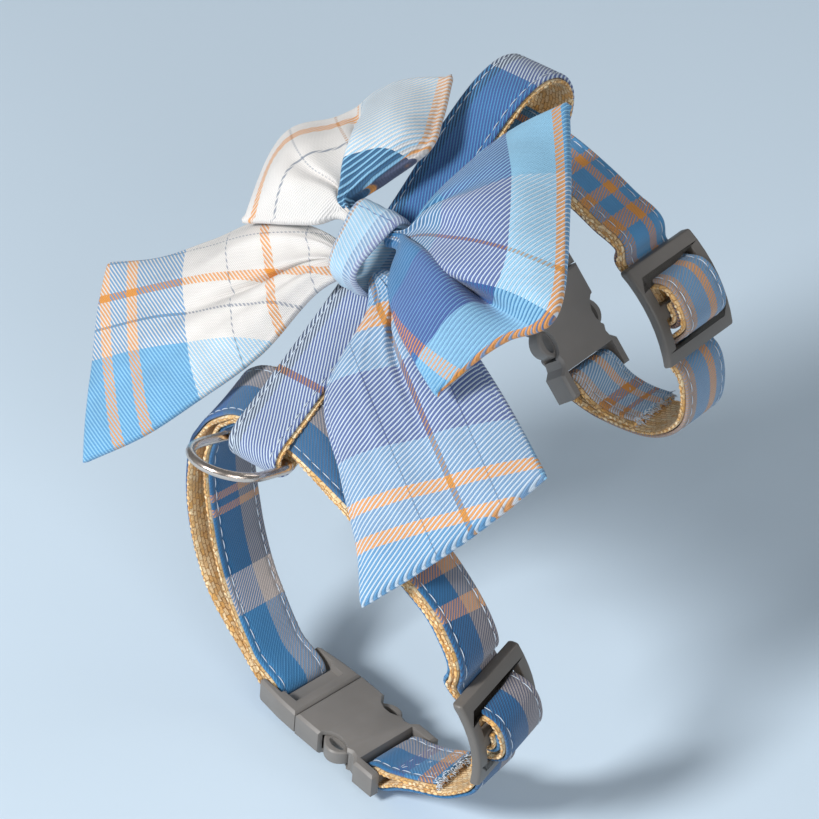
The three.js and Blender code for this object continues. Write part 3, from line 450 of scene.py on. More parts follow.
def webbing_profile(thick):
    # once round: an edge, the top, the other edge and the underside, in half widths and half thicknesses
    corner = np.linspace(-math.pi / 2, math.pi / 2, 5)
    edge = np.stack([1 - thick / 2 / BAND["half"] * (1 - np.cos(corner)), np.sin(corner)], 1)
    top = np.stack([np.linspace(0.75, -0.75, 5), np.ones(5)], 1)
    return np.concatenate([edge, top, edge[::-1] * [-1, 1], -top])


def webbing_band(name, route):
    at = route["at"]
    uneven = 0.5 + 0.5 * np.sin(at * 0.83 + 1.2 * np.sin(at * 0.31))
    wave = np.abs(np.sin(math.pi * (at + 0.4 * uneven) / BAND["yarn"])) * (0.6 + 0.4 * uneven)
    half = BAND["half"] + 0.30 * (wave - 0.5)
    thick = BAND["high"] - BAND["low"]
    middle = (BAND["high"] + BAND["low"]) / 2
    profile = webbing_profile(thick)
    across = profile[:, 0][None] * half[:, None]
    under = profile[:, 1] < 0
    lift = thick / 2 * profile[:, 1][None] * (1 + under[None] * 0.16 * (wave[:, None] - 0.5))
    rings = swept(route, across, middle + lift)
    return mesh_from_rings(name, rings, flat_map(at, across), WEBBING)


# %% [markdown]
# The facing cloth's edges are folded under, so they roll off. It dips along both rows of stitches, most
# where the needle went through, and swells a little between them. Places across it lie close together where
# it bends.
# %% Facing bands


def facing_band(name, route, cloth):
    route = {key: value[::2] for key, value in route.items()}
    at = route["at"]
    half = np.array([0, 2.5, 4.4, 5.1, 5.5, ROW, 6.2, 6.5, 6.9, 7.3, FACING["half"]])
    v = np.r_[-half[:0:-1], half]
    hole = np.abs(np.cos(math.pi * at / STITCH["pitch"]))[:, None]
    dip = np.exp(-((np.abs(v) - ROW) / 0.5) ** 2)[None]
    roll = np.clip((np.abs(v) - 6.9) / 0.55, 0, 1)[None] ** 2
    swell = 0.05 * (1 - (v / FACING["half"]) ** 2)[None]
    top = FACING["high"] - (0.12 + 0.20 * hole) * dip - 0.42 * roll + swell
    bottom = np.full((len(at), 4), FACING["low"])
    across = np.concatenate([np.broadcast_to(v, top.shape),
                             np.broadcast_to([7.3, 3.0, -3.0, -7.3], bottom.shape)], 1)[:, ::-1]
    out = np.concatenate([top, bottom], 1)[:, ::-1]
    return mesh_from_rings(name, swept(route, across, out), flat_map(at, across), cloth)


CLOTHS = {"girth_strap": GIRTH_CLOTH, "neck_strap": NECK_CLOTH, "back_strap": BACK_CLOTH}
for name, route in STRAPS.items():
    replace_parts(webbing_band(name + "_woven", route), name + "_webbing")
    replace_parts(facing_band(name + "_plaid", route, CLOTHS[name]), name + "_facing")
print("bands swept")

# %% [markdown]
# A stitch is a short bent capsule of thread whose ends sink into the needle holes. Real geometry is used
# rather than a bump, because every stitch catches the light on its own. All of one strap's stitches are one
# mesh.
# %% Capsules of thread


def look_up(route, at, across, out):
    # places on a strap, given along it, across it and out from it
    at = np.clip(at, 0, route["at"][-1])
    get = [np.stack([np.interp(at, route["at"], route[key][:, k]) for k in range(3)], -1)
           for key in ("place", "across", "out")]
    return get[0] + get[1] * np.asarray(across)[..., None] + get[2] * np.asarray(out)[..., None]


def capsule(path, normal, thick, start, sides=6):
    # a row of points swept with a round section that narrows and closes at both ends
    angle = (np.arange(sides) / sides * 2 * math.pi)[None, :, None]
    ways = unit(np.gradient(path, axis=0))
    up = unit(normal - (ways * normal).sum(1)[:, None] * ways)
    side = np.cross(ways, up)
    ease = np.sin(np.linspace(0.12, math.pi - 0.12, len(path))) ** 0.35
    ring = path[:, None] + thick * ease[:, None, None] * (
        np.cos(angle) * up[:, None] + np.sin(angle) * side[:, None])
    faces = []
    for i in range(len(path) - 1):
        for k in range(sides):
            a, b = start + i * sides + k, start + i * sides + (k + 1) % sides
            faces.append((a, a + sides, b + sides, b))
    faces.append(tuple(start + k for k in range(sides)))
    faces.append(tuple(start + (len(path) - 1) * sides + k for k in reversed(range(sides))))
    return ring.reshape(-1, 3).tolist(), faces


def capsules(name, paths, normals, thick, material):
    points, faces = [], []
    for path, normal in zip(paths, normals):
        more_points, more_faces = capsule(path, normal, thick, len(points))
        points += more_points
        faces += more_faces
    mesh = bpy.data.meshes.new(name)
    mesh.from_pydata((np.array(points) * MM).tolist(), [], faces)
    shade_round(mesh)
    made = new_piece(name, mesh, material)
    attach(made, "harness")


# %% [markdown]
# Two rows of running stitches hold the facing on the webbing, with hand-fed cloth's small errors in place
# and length. Where a flap is sewn down, two rows across and a cross between them hold it; the long rows
# close the box.
# %% Stitches


def stitch_path(route, start, end):
    # start and end are (along, across); the thread rises out of one hole and goes down into the next
    t = np.linspace(0, 1, 5)
    at = start[0] + (end[0] - start[0]) * t
    across = start[1] + (end[1] - start[1]) * t
    out = FACING["high"] - 0.05 + (0.20 * np.sin(math.pi * t) ** 0.5 - 0.16)
    middle = np.interp(at.mean(), route["at"], np.arange(len(route["at"])))
    return look_up(route, at, across, out), route["out"][int(middle)]


def running_stitches(route):
    found = []
    for side in (-ROW, ROW):
        for start in np.arange(1.2, route["at"][-1] - 4, STITCH["pitch"]):
            drift = chance.normal(0, 0.06, 2)
            finish = start + STITCH["length"] + chance.normal(0, 0.12)
            found.append(stitch_path(route, (start, side + drift[0]), (finish, side + drift[1])))
    return found


def cross_box(route, start, length, half):
    found = []
    a, b, c, d = np.array([(start, -half), (start + length, -half), (start + length, half), (start, half)])
    for first, last in ((b, c), (d, a), (a, c), (b, d)):
        count = int(np.linalg.norm(last - first) / 2.6)
        step = (last - first) / count
        found += [stitch_path(route, first + step * (k + 0.1), first + step * (k + 0.88))
                  for k in range(count)]
    return found


for name, route in STRAPS.items():
    sewn = running_stitches(route)
    if name != "back_strap":
        sewn += cross_box(route, **BOX)
    paths, normals = zip(*sewn)
    capsules(name + "_stitches", paths, normals, STITCH["thick"], THREAD)
    print(name, "has", len(sewn), "stitches")

# %% [markdown]
# A strap's cut end frays: short yarn ends stand out of it in all directions. They are the same capsules,
# thinner; hair would be quicker to make, but it isn't part of an exported mesh.
# %% Frayed ends
YARN_END = {"count": 150, "thick": 0.11, "shortest": 0.5, "longest": 1.9}


def fray(name, route):
    paths, normals = [], []
    ahead = -route["along"][0]
    for _ in range(YARN_END["count"]):
        across = chance.uniform(-7.6, 7.6)
        out = chance.uniform(-1.0, 1.15)
        start = look_up(route, np.array([0.25]), np.array([across]), np.array([out]))[0]
        lean = unit(ahead + chance.normal(0, 0.38, 3))
        bend = chance.normal(0, 0.25, 3)
        reach = chance.uniform(YARN_END["shortest"], YARN_END["longest"])
        t = np.linspace(0, 1, 4)[:, None]
        paths.append(start + lean * reach * t + bend * t**2)
        normals.append(route["out"][0])
    capsules(name, paths, normals, YARN_END["thick"], FRAY)


for name in ("girth_strap", "neck_strap"):
    fray(name + "_frayed_end", STRAPS[name])
print("frayed ends made")

# %% [markdown]
# The buckles and sliders are acetal mouldings with a satin finish: a very fine grain left by the mould, no
# gloss, and softly rounded edges. Acetal's IOR is close to Blender's 1.5, which is kept. The mould's grain
# is finer than a tenth of a millimetre, and it is drawn at about half a millimetre, 2200 to the metre, so
# that it shows.
# %% Moulded plastic


def moulded_plastic(name, colour, rough):
    made, tree, shader = new_material(name, Roughness=rough, Specular_IOR_Level=0.45)
    place = add(tree, "TexCoord").outputs["Object"]
    grain = add(tree, "TexNoise", {"Vector": place, "Scale": 2200.0, "Detail": 2.0})
    cloud = add(tree, "TexNoise", {"Vector": place, "Scale": 90.0, "Detail": 2.0})
    tint(tree, shader, linear(colour), add(tree, "MapRange", {0: cloud, 1: 0.3, 2: 0.7, 3: 0.93, 4: 1.06}))
    bump = add(tree, "Bump", {"Height": grain, "Strength": 0.12, "Distance": 0.04 * MM})
    tree.links.new(bump.outputs[0], shader.inputs["Normal"])
    return made


BUCKLE_PLASTIC = moulded_plastic("satin_acetal_moulding", "#7a7672", 0.46)
SLIDER_PLASTIC = moulded_plastic("satin_acetal_slider_moulding", "#69645f", 0.44)
print("plastics made")

# %% [markdown]
# A CAD solid comes as loose triangles. Its copy is welded, its flat faces are joined again, its edges are
# bevelled as a mould would round them, and the result is kept as a plain mesh.
# %% Moulded hardware


def copy_of(node_name, name, material):
    made = new_piece(name, NODES[node_name].data.copy(), material)
    made.modifiers.new("weld", "WELD").merge_threshold = 0.01 * MM
    return made


def keep_result(made):
    view = bpy.context.evaluated_depsgraph_get()
    made.data = bpy.data.meshes.new_from_object(made.evaluated_get(view))
    made.modifiers.clear()
    shade_round(made.data)


def softened(node_name, name, material, width):
    made = copy_of(node_name, name, material)
    flat = made.modifiers.new("flat", "DECIMATE")
    flat.decimate_type = "DISSOLVE"
    flat.angle_limit = math.radians(2)
    bevel = made.modifiers.new("edge", "BEVEL")
    bevel.width = width * MM
    bevel.segments = 3
    bevel.limit_method = "ANGLE"
    bevel.angle_limit = math.radians(32)
    keep_result(made)
    made.data.set_sharp_from_angle(angle=math.radians(38))
    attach(made, "harness")
    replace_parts(made, node_name)


for loop in ("girth", "neck"):
    for half in ("male", "female"):
        softened(f"{loop}_buckle_{half}", f"{loop}_buckle_{half}_moulding", BUCKLE_PLASTIC, 0.5)
    softened(f"{loop}_slider", f"{loop}_slider_moulding", SLIDER_PLASTIC, 0.45)
print("mouldings softened")

# %% [markdown]
# The lead ring is bent from round wire and nickel plated: a mirror with a warm tint, dulled here and there
# by handling. Subdividing its ring of facets makes the wire round; pushing it out again by a little gives
# back what that takes off.
# %% Lead ring
NICKEL, tree, shader = new_material("polished_nickel_plate", Metallic=1.0, Base_Color=linear("#dacbbf"))
place = add(tree, "TexCoord").outputs["Object"]
smear = add(tree, "TexNoise", {"Vector": place, "Scale": 160.0, "Detail": 3.0})
dull = add(tree, "MapRange", {0: smear, 1: 0.3, 2: 0.7, 3: 0.18, 4: 0.30})
tree.links.new(dull.outputs[0], shader.inputs["Roughness"])

wire = copy_of("lead_ring", "lead_ring_wire", NICKEL)
finer = wire.modifiers.new("finer", "SUBSURF")
finer.levels = finer.render_levels = 2
full = wire.modifiers.new("full", "DISPLACE")
full.strength = 0.09 * MM
full.mid_level = 0
keep_result(wire)
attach(wire, "ring")
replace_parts(wire, "lead_ring")
print("ring wire has", len(wire.data.polygons), "faces")

# %% [markdown]
# The bow has a frame of its own: x runs up the back strap, y to the far side and z straight out of the
# strap, all from the middle of the knot, BOW_AT. SLOPE and YAW are how the back strap lies. The lobes are
# listed as rows from the gathers to the outer seam, so that each one keeps its own outline and folds.
# %% The bow's frame
SLOPE, YAW = math.radians(33.9), math.radians(8.7)
BOW_X = np.array([math.cos(SLOPE) * math.cos(YAW), math.cos(SLOPE) * math.sin(YAW), math.sin(SLOPE)])
BOW_Y = np.array([-math.sin(YAW), math.cos(YAW), 0.0])
BOW_Z = np.cross(BOW_X, BOW_Y)
BOW_AT = np.array([26.545, 4.062, 36.237])
BOW_AXES = np.array([BOW_X, BOW_Y, BOW_Z])


def from_bow(points):
    return BOW_AT + np.asarray(points) @ BOW_AXES


print("the bow's z axis:", BOW_Z.round(3))

# %% [markdown]
# A row is (five places across the cloth, how far its folds stand out at seven places, the envelope's
# thickness). The first row of every lobe lies inside the knot.
# %% Rows of the tails
LOBES = {}
LOBES["bow_near_tail"] = [
    ([(-2, -4.5, -2.8), (-3.1, -4.2, -2.8), (-4.2, -3.8, -2.8), (-5.1, -3.4, -2.8), (-6, -3, -2.8)],
     [0, 0, 0, 0, 0, 0, 0], 3.2),
    ([(-1.5, -12, -2.8), (-4.2, -11.5, -2.8), (-7, -10.6, -2.8), (-10, -9, -2.7), (-13, -7, -2.6)],
     [0, 0.8, 0.2, -0.6, 0.6, 0.8, 0], 4.6),
    ([(-3.3, -22, -4.5), (-10, -20, -4.3), (-17.5, -17, -4.2), (-25, -14, -4.3), (-33, -9.6, -4.5)],
     [0, 1.8, 1.6, -0.6, 1.4, 2.6, 1.9], 6.0),
    ([(-9.8, -36.5, -7.4), (-19.6, -34, -7.1), (-30, -31.8, -7), (-40.4, -29, -7.2), (-50.4, -24.8, -7.5)],
     [0, 1.8, 2.0, 0.4, 1.8, 2.6, 1.7], 6.6),
    ([(-17.5, -51.5, -10), (-29, -48, -9.7), (-40.8, -45.2, -9.6), (-52, -41.6, -9.9), (-63, -37.3, -10.3)],
     [0, 1.2, 1.6, 1.0, 1.6, 1.8, 0.9], 5.8),
    ([(-26.3, -66.5, -12), (-38.7, -62.2, -12), (-50.5, -57, -12), (-61.5, -51.2, -12), (-73, -44.3, -12)],
     [0, 0.6, 0.9, 0.8, 0.9, 0.6, 0], 4.4),
]
LOBES["bow_far_tail"] = [
    ([(-2, 4.5, -2.8), (-3.1, 4.2, -2.8), (-4.2, 3.8, -2.8), (-5.1, 3.4, -2.8), (-6, 3, -2.8)],
     [0, 0, 0, 0, 0, 0, 0], 3.2),
    ([(-0.5, 12.6, -2.8), (-3.6, 12, -2.8), (-6.8, 10.9, -2.8), (-9.8, 9.2, -2.8), (-12.8, 7, -2.6)],
     [0, 0.8, 0.2, -0.8, 0.4, 0.8, 0], 4.6),
    ([(-3.6, 31, -4), (-10.6, 28.2, -4), (-18.6, 23.7, -4), (-26, 18.6, -4), (-33.1, 12.6, -4.5)],
     [0, 2.4, 1.6, -1.2, 1.8, 2.4, 0], 6.0),
    ([(-14.2, 44.1, -7), (-23.6, 40.5, -6.6), (-32.5, 36.2, -6.6), (-42, 30.2, -6.8), (-51.2, 22.7, -7)],
     [0, 1.4, 2.0, 1.2, 2.2, 2.0, 0], 6.6),
    ([(-23.8, 56.5, -9.8), (-33.4, 52.1, -9.4), (-43.8, 46.1, -9.2), (-54.5, 39.2, -9.6), (-63.8, 32, -10)],
     [0, 1.0, 1.6, 1.8, 1.8, 1.2, 0], 5.8),
    ([(-29.7, 69.2, -12), (-41.1, 63.2, -12), (-52.2, 56.1, -12), (-63.9, 49.5, -12), (-75, 42.6, -12)],
     [0, 0.4, 0.8, 0.9, 0.8, 0.4, 0], 4.4),
]
print("rows of the tails:", [len(rows) for rows in LOBES.values()])

# %% [markdown]
# The loops are shorter and stand higher. Their folds rise and fall more than the tails' do, because a loop
# is gathered hard.
# %% Rows of the loops
LOBES["bow_near_loop"] = [
    ([(6.5, -2.5, 2.6), (5.5, -3.2, 2.6), (4.3, -3.8, 2.6), (3.1, -4.2, 2.6), (2, -4.5, 2.6)],
     [0, 0, 0, 0, 0, 0, 0], 4.0),
    ([(8.8, -8.8, 2.8), (7.6, -9.4, 3.2), (6, -9.6, 3.2), (3.8, -9.2, 3.1), (1, -8.2, 3)],
     [0, 0.8, 0.6, 0, -0.8, 0.4, 0.2], 5.0),
    ([(16.3, -8.6, 2.8), (12.8, -12.6, 4), (8.3, -13.8, 4), (2.6, -13.2, 4), (-5.2, -11.4, 3.8)],
     [0, 1.8, 2.0, -0.2, -2.2, 1.2, 0.6], 7.0),
    ([(28.7, -11.1, 2.4), (20.1, -20.9, 5), (9.6, -24.6, 5), (0.2, -22.9, 5), (-13.1, -18.9, 4.6)],
     [0, 2.8, 3.8, 1.0, -3.2, 1.6, 0.4], 8.2),
    ([(42.1, -15.9, 1), (28.3, -29.7, 4), (9, -39.6, 4), (-2.9, -35.4, 4.6), (-19.6, -29.6, 4.4)],
     [0, 2.2, 3.4, 1.8, -3.0, 1.8, 0], 7.6),
    ([(53.5, -22.5, -1), (32, -38.7, 0.5), (7.1, -53.3, 2), (-4.9, -46, 2.6), (-24, -38.3, 3.2)],
     [0, 0.6, 1.2, 0.8, -1.0, 0.8, 0], 3.4),
]
LOBES["bow_far_loop"] = [
    ([(6.5, 2.5, 2.6), (5.5, 3.2, 2.6), (4.3, 3.8, 2.6), (3.1, 4.2, 2.6), (2, 4.5, 2.6)],
     [0, 0, 0, 0, 0, 0, 0], 4.0),
    ([(8.3, 9, 2.6), (7.4, 9.8, 3), (6, 10.2, 3.2), (4.4, 10.2, 3.2), (1.8, 9.4, 3)],
     [0, 0.8, 0.4, -0.8, 0.2, 0.6, 0], 5.0),
    ([(16.6, 4.4, 2.6), (15.4, 8, 4), (12.4, 11.6, 4), (8.2, 13.8, 4), (-2.4, 15, 3.4)],
     [0.6, 1.8, 1.2, -1.8, 0.2, 1.4, 0], 7.0),
    ([(26.6, 0.4, 2), (23.9, 6.6, 4.4), (16.8, 15.2, 4), (8.3, 21.3, 4.2), (-4.6, 21.8, 3.4)],
     [0.6, 3.0, 2.2, -2.8, 0.8, 3.0, 0], 8.2),
    ([(36, 3, 1), (31.8, 11.5, 3), (22, 21.4, 3), (10.9, 29.7, 3.4), (-6.8, 28, 3)],
     [0, 2.6, 2.0, -2.4, 1.2, 3.0, 0], 7.6),
    ([(46.7, 8.3, -1), (39.3, 19.1, 0), (26.3, 27.5, 0.6), (14.8, 37.3, 1), (-8.4, 33.2, 1.6)],
     [0, 0.8, 0.6, -1.0, 0.4, 1.0, 0], 3.4),
]
print("rows:", {name: len(rows) for name, rows in LOBES.items()})

# %% [markdown]
# Each lobe is cut from its own part of the plaid, so it has its own charts. For a tail, `length` and
# `width` say which way the cloth's two ways lie in the bow's x and y. A loop is gathered so hard that its
# lengthwise stripes spread from the knot: `fan` is half the cloth's width there and `skew` how far those
# stripes drift sideways for each millimetre out. `lean` moves the stripes across it out at one edge and in
# at the other, and `slip` is how much further the cloth past the deepest fold is drawn into the knot.
# %% Cloth of the bow
CUTS = {
    "bow_near_tail": {
        "length": (-0.71, -0.70), "width": (0.81, -0.585), "slant": 35, "share": 0.6,
        "weft": [("sky", 10), ("sky", 14.5), ("orange", 20.5), ("denim", 31), ("indigo", 50.4),
                 ("denim", 61.3), ("orange", 64.4), ("denim", 69.6), ("orange", 72.8), ("sky", 100)],
        "warp": [("ice", -25), ("ice", -12.5), ("grey", -12.2), ("ice", -3.6), ("umber", -2.0),
                 ("ice", 6), ("grey", 6.3), ("ice", 17), ("pale", 40)],
    },
    "bow_far_tail": {
        "length": (-0.67, 0.74), "width": (-0.88, -0.47), "slant": 30, "share": 0.5,
        "weft": [("white", 10), ("white", 15), ("grey", 15.5), ("white", 24.3), ("orange", 26.8),
                 ("white", 36), ("grey", 36.7), ("white", 49), ("sky", 62.6), ("orange", 65.8),
                 ("sky", 70.8), ("orange", 74), ("sky", 100)],
        "warp": [("white", -25), ("white", -6.3), ("grey", -5.7), ("white", 2.9), ("orange", 5.1),
                 ("white", 12.4), ("grey", 13), ("white", 21), ("pale", 60)],
    },
    "bow_near_loop": {
        "fan": 39, "skew": 0.22, "lean": 2.4, "slant": 80, "share": 0.66,
        # its indigo stripe, from 17 to 37 mm out, lies along the deep fold and fills it with solid dark:
        # partly the cloth's own stripe, partly painted shade for the fold
        "weft": [("blue", 8), ("blue", 17), ("indigo", 37), ("pale", 49.8), ("orange", 52.6), ("sky", 90)],
        "warp": [("sky", -41), ("pale", -14), ("ice", 2.9), ("umber", 4.1), ("ice", 13.5), ("blue", 22),
                 ("denim", 43), ("orange", 46.4), ("sky", 70)],
    },
    "bow_far_loop": {
        "fan": 28, "slip": 14, "slant": 65, "share": 0.66,
        "weft": [("teal", 6), ("teal", 17), ("white", 36), ("grey", 36.6), ("white", 44),
                 ("orange", 46.4), ("white", 60)],
        "warp": [("orange", -30), ("orange", -25.8), ("pale", -5.6), ("white", 1), ("tan", 1.8),
                 ("white", 12), ("grey", 12.6), ("white", 40)],
    },
}
print("cloth cut for", ", ".join(CUTS))

# %% [markdown]
# Each lobe is an envelope of two sheets, turned right side out, with a rounded seam at its edges. Once
# round its section run the upper sheet, the seam on one side, the lower sheet and the seam on the other.
# `v` is the place across the cloth, `side` how far a point of the seam bulges out, and `level` is 1 on the
# upper sheet and -1 on the lower one. Cloth simulation could fill such an envelope too; the listed rows
# hold this bow's own folds.
# %% A lobe's section
SEAM = 1.5
SHEET, BEND = 71, 5


def lobe_section():
    face_v = np.linspace(-1, 1, SHEET)
    turn = np.linspace(math.pi / 2, -math.pi / 2, BEND + 2)[1:-1]
    v = np.concatenate([face_v, np.full(BEND, 1.0), face_v[::-1], np.full(BEND, -1.0)])
    side = np.concatenate([np.zeros(SHEET), np.cos(turn), np.zeros(SHEET), -np.cos(turn[::-1])])
    level = np.concatenate([np.ones(SHEET), np.sin(turn), -np.ones(SHEET), np.sin(turn[::-1])])
    return v, side, level


def through(values, t):
    # a smooth curve through evenly spaced values, t from 0 to 1
    values = np.asarray(values, float)
    place = t * (len(values) - 1)
    i = np.clip(place.astype(int), 0, len(values) - 2)
    f = (place - i).reshape((-1,) + (1,) * (values.ndim - 1))
    p, q, r, s = (values[np.clip(i + k, 0, len(values) - 1)] for k in (-1, 0, 1, 2))
    return q + f * (r - p + f * (2 * p - 5 * q + 4 * r - s + f * (3 * (q - r) + s - p))) / 2


V, SIDE, LEVEL = lobe_section()
print("a lobe's section has", len(V), "points")

# %% [markdown]
# The rows are filled in smoothly, first across the cloth and then along it. Where the envelope is narrow
# the seam takes up to six tenths of its width.
# %% Fill in a lobe's rows


def filled_rows(rows, count=120):
    middle = np.array([row[0][2] for row in rows], float)
    knots = np.r_[0, np.cumsum(np.linalg.norm(np.diff(middle, axis=0), axis=1))]
    at = np.linspace(0, knots[-1], count)
    half = np.array([np.linalg.norm(np.subtract(row[0][4], row[0][0])) / 2 for row in rows])
    pulled = [V * (1 - min(0.6, SEAM / h)) for h in half]
    lines = np.array([through(row[0], (p + 1) / 2) for row, p in zip(rows, pulled)])
    lines[..., 2] += [through(row[1], (V + 1) / 2) for row in rows]
    place = smooth_between(knots, lines.reshape(len(rows), -1), at).reshape(count, len(V), 3)
    puff = smooth_between(knots, np.array([[row[2]] for row in rows]), at)
    span = unit(place[:, SHEET - 1] - place[:, 0])
    return at, place + span[:, None] * SIDE[None, :, None] * SEAM, puff, span


# %% [markdown]
# Gathered cloth stands in narrow pleats that run out from the knot and fade, and a long, low ripple stays
# near the outer seam. A tuck is one deep fold of the upper sheet, and the cloth on both sides of it rolls
# over it.
# %% Gathers and tucks
SHIFT = {"bow_near_tail": 0.4, "bow_far_tail": 1.7, "bow_near_loop": 2.6, "bow_far_loop": 0.9}
# (where across, how wide, how deep, where along it is deepest)
TUCKS = {
    "bow_near_tail": [(-0.1, 0.10, 1.6, 0.22)],
    "bow_far_tail": [(0.05, 0.10, 1.6, 0.25)],
    "bow_near_loop": [(0.36, 0.11, 7.0, 0.42), (-0.62, 0.12, 1.6, 0.25)],
    "bow_far_loop": [(-0.14, 0.09, 6.5, 0.52), (0.52, 0.12, 1.4, 0.4)],
}
TUCK_LENGTH = 0.30


def gathers(shift, reach):
    ease = np.clip(1 - V[None] ** 4, 0, 1)
    fade = (np.exp(-2.4 * reach) * (1 - np.exp(-16 * reach)))[:, None]
    pleats = (np.sin(7.5 * V + shift) + 0.55 * np.sin(15 * V + 2 * shift + 0.4)
              + 0.3 * np.sin(27 * V + 3 * shift))
    ripple = 0.3 * np.sin(9 * V[None] + 6.2 * reach[:, None] + shift) * (reach * (1 - reach**4))[:, None]
    return ease * (0.75 * pleats[None] * fade + ripple)


def fold_in(place, reach, span, tuck):
    where, wide, deep, deepest = tuck
    here = np.exp(-(((reach - deepest) / TUCK_LENGTH) ** 2))[:, None] * (LEVEL > 0.99)[None]
    place[..., 2] -= deep * here * np.exp(-(((V - where) / wide) ** 2))[None]
    for way in (-1, 1):
        roll = here * np.exp(-(((V - where - way * 1.7 * wide) / (1.3 * wide)) ** 2))[None]
        place[..., 2] += 0.45 * deep * roll
        place -= way * (0.6 - 0.2 * way) * deep * roll[..., None] * span[:, None]


# %% [markdown]
# The outer seam is rounded: past the last row, five more rings close in on the line between the two sheets.
# %% A whole lobe


def round_seam(place, at, outward):
    opposite = (2 * SHEET + BEND - 1 - np.arange(len(V))) % len(V)
    core = (place[-1] + place[-1][opposite]) / 2
    turn = np.linspace(0, math.pi / 2, 6)[1:]
    close = [(core + (place[-1] - core) * math.cos(a) + outward * SEAM * math.sin(a))[None] for a in turn]
    return np.concatenate([place] + close), np.r_[at, at[-1] + SEAM * np.sin(turn)]


def lobe_surface(name, rows):
    at, place, puff, span = filled_rows(rows)
    reach = at / at[-1]
    belly = np.sqrt(np.clip(1 - V**2, 0, 1))[None]
    thick = SEAM + np.clip(puff / 2 - SEAM, 0, None) * belly
    place[..., 2] += LEVEL[None] * thick + gathers(SHIFT[name], reach)
    for tuck in TUCKS[name]:
        fold_in(place, reach, span, tuck)
    outward = unit(np.subtract(rows[-1][0][2], rows[-2][0][2]).astype(float))
    rings, at = round_seam(place, at, outward)
    return rings, np.broadcast_to(at[:, None], rings.shape[:2])


# %% [markdown]
# The tails lie flat, so their stripes follow the two ways of the grain. A loop's stripes follow its own
# length and width instead, and its outermost cloth is folded under where it is gathered.
# %% Where the cloth lies on a lobe


def lobe_maps(name, rings, at):
    cut = CUTS[name]
    flat = rings[..., :2]
    if "fan" not in cut:
        straight = np.stack([flat @ np.array(cut["length"]), flat @ np.array(cut["width"])], -1)
        return {"cut": straight, "weave": straight}
    across = V * cut["fan"] * (1 - 0.35 * np.exp(-at / 7)) + cut.get("skew", 0) * at
    slip = cut.get("slip", 0) * np.clip((V + 0.22) / 0.08, 0, 1)
    lean = cut.get("lean", 0) * np.clip(V, -1, 0.9)
    return {"cut": np.stack([at + slip - lean, across], -1), "weave": flat}


BOW_CLOTH = {
    name: plaid_twill(name.replace("bow", "plaid_twill_bow"), cut["warp"], cut["weft"], rib=0.88,
                      slant=cut["slant"], share=cut["share"], show=0.9)
    for name, cut in CUTS.items()
}
for name, lobe in LOBES.items():
    rings, at = lobe_surface(name, lobe)
    made = mesh_from_rings(name + "_cloth", from_bow(rings), lobe_maps(name, rings, at), BOW_CLOTH[name])
    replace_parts(made, name)
    print(name, "envelope has", len(made.data.polygons), "faces")

# %% [markdown]
# The knot is one band of the same cloth, folded to a strip and wrapped tightly round the gathers, wider at
# its neck end. It is swept round a rounded rectangle: the strip's edges are folded under, and soft pleats
# run round.
# %% Knot
KNOT = {"long": 21, "wide": 14.5, "pinch": 8, "top": 8.2, "bottom": 7, "thick": 1.4, "stretch": 7.2}


def squared(x):
    # bends a circle towards a square
    return np.sign(x) * np.abs(x) ** 0.55


def knot_band(steps=96, across=33):
    angle = np.linspace(0, 2 * math.pi, steps + 1)[:-1] + 1.5 * math.pi
    x = KNOT["long"] / 2 * squared(np.cos(angle))
    z = np.where(np.sin(angle) > 0, KNOT["top"], KNOT["bottom"]) * squared(np.sin(angle))
    half = (KNOT["pinch"] + (KNOT["wide"] - KNOT["pinch"]) * (x / KNOT["long"] + 0.5)) / 2
    outer = np.linspace(-1, 1, across)
    v = np.r_[outer, np.linspace(1, -1, 9)]
    folded = 0.9 * np.abs(outer) ** 6 + 0.10 * np.cos(3.5 * math.pi * outer) + 0.1
    inset = np.r_[folded, np.full(9, KNOT["thick"])]
    depth = inset[None] + 0.12 * np.sin(5 * v[None] + 2 * angle[:, None]) * (np.abs(v) < 0.95)[None]
    ring_x = x[:, None] * (1 - 2 * depth / KNOT["long"])
    ring_z = z[:, None] * (1 - depth / KNOT["top"])
    rings = np.stack([ring_x, v[None] * half[:, None], ring_z], -1)
    run = np.r_[0, np.cumsum(np.hypot(np.diff(x), np.diff(z)))]
    where = np.stack(np.broadcast_arrays(run[:, None], v[None] * KNOT["stretch"]), -1)
    # the last ring lies on the first one, and the cloth's own length goes on past it
    once_round = run[-1] + np.hypot(x[0] - x[-1], z[0] - z[-1])
    rings = np.concatenate([rings, rings[:1]])
    where = np.concatenate([where, where[:1] + [[[once_round, 0]]]])
    return rings[:, ::-1], where[:, ::-1]


KNOT_CLOTH = plaid_twill(
    "plaid_twill_bow_knot",
    warp=[("violet", -7), ("violet", -5.4), ("denim", -2), ("pale", 5.4), ("tan", 6.2), ("denim", 9)],
    weft=[("ice", 5), ("ice", 24), ("violet", 24.5), ("ice", 80)],
    rib=0.95, slant=25)
rings, where = knot_band()
knot = mesh_from_rings("bow_knot_cloth", from_bow(rings), {"cut": where, "weave": where}, KNOT_CLOTH,
                       caps=False)
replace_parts(knot, "bow_knot")
print("knot wrapped")

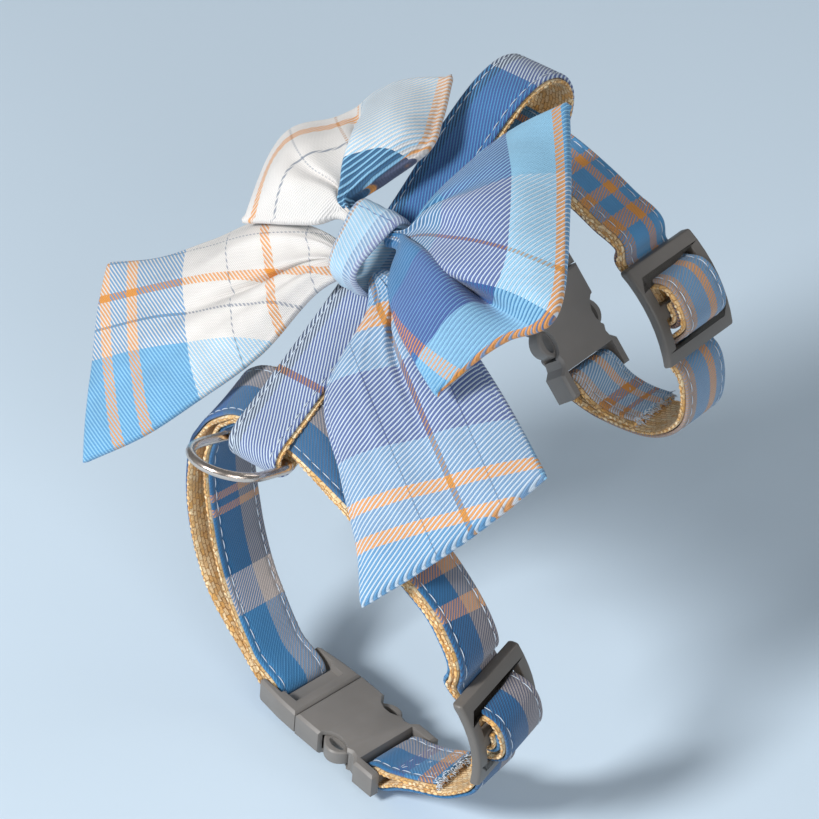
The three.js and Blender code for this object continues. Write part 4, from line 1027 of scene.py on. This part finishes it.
# %% [markdown]
# The harness is shown as it keeps its form, over a plain pale floor of matt paint.
# %% Floor
FLOOR_REACH, FLOOR_GAP = 6.0, 0.002

low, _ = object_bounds()
ends, drop = (-FLOOR_REACH, FLOOR_REACH), low[2] - FLOOR_GAP
floor_mesh = bpy.data.meshes.new("floor")
floor_mesh.from_pydata([(ends[0], ends[0], drop), (ends[1], ends[0], drop), (ends[1], ends[1], drop),
                        (ends[0], ends[1], drop)], [], [(0, 1, 2, 3)])
FLOOR, _, _ = new_material("matt_painted_floor", Base_Color=linear("#cfe0ee"), Roughness=0.9)
new_piece("floor", floor_mesh, FLOOR)
print("floor at", round(drop, 4))

# %% [markdown]
# Large soft lights leave gentle shadows: a strong one from the left shapes the folds, a weaker one in front
# opens their shadows, and a faint one from the right, a little behind, marks the edges.
# %% Lights


def soft_light(name, place, size, power):
    made = bpy.data.objects.new(name, bpy.data.lights.new(name, "AREA"))
    made.data.shape = "DISK"
    made.data.size = size
    made.data.energy = power
    made.location = place
    made.rotation_euler = (Vector((0.02, -0.01, 0.0)) - Vector(place)).to_track_quat("-Z", "Y").to_euler()
    bpy.context.scene.collection.objects.link(made)


soft_light("key", (-1.10, 0.10, 0.80), 0.36, 20)
soft_light("fill", (-0.5, -1.2, 0.60), 0.8, 6.5)
soft_light("rim", (0.9, -0.3, 0.8), 0.7, 2)
world = bpy.data.worlds.new("sky")
bpy.context.scene.world = world
world.use_nodes = True
sky = world.node_tree.nodes["Background"].inputs
sky[0].default_value = linear("#e4ecf3")
sky[1].default_value = 0.22
bpy.context.scene.view_settings.view_transform = "Standard"
print("three lights and a pale sky")

# %% [markdown]
# A long lens, as for small things on a table, looks down on the harness from the near left.
# %% Camera
camera = bpy.data.objects.new("camera", bpy.data.cameras.new("camera"))
camera.data.lens = 203.1
camera.data.sensor_width = 36
camera.location = (-0.5526, -0.6885, 0.6690)
aim = Vector((0.01798, -0.02049, 0.00702)) - camera.location
camera.rotation_euler = aim.to_track_quat("-Z", "Y").to_euler()
bpy.context.scene.collection.objects.link(camera)
bpy.context.scene.camera = camera
print("camera", round(aim.length, 2), "m away")
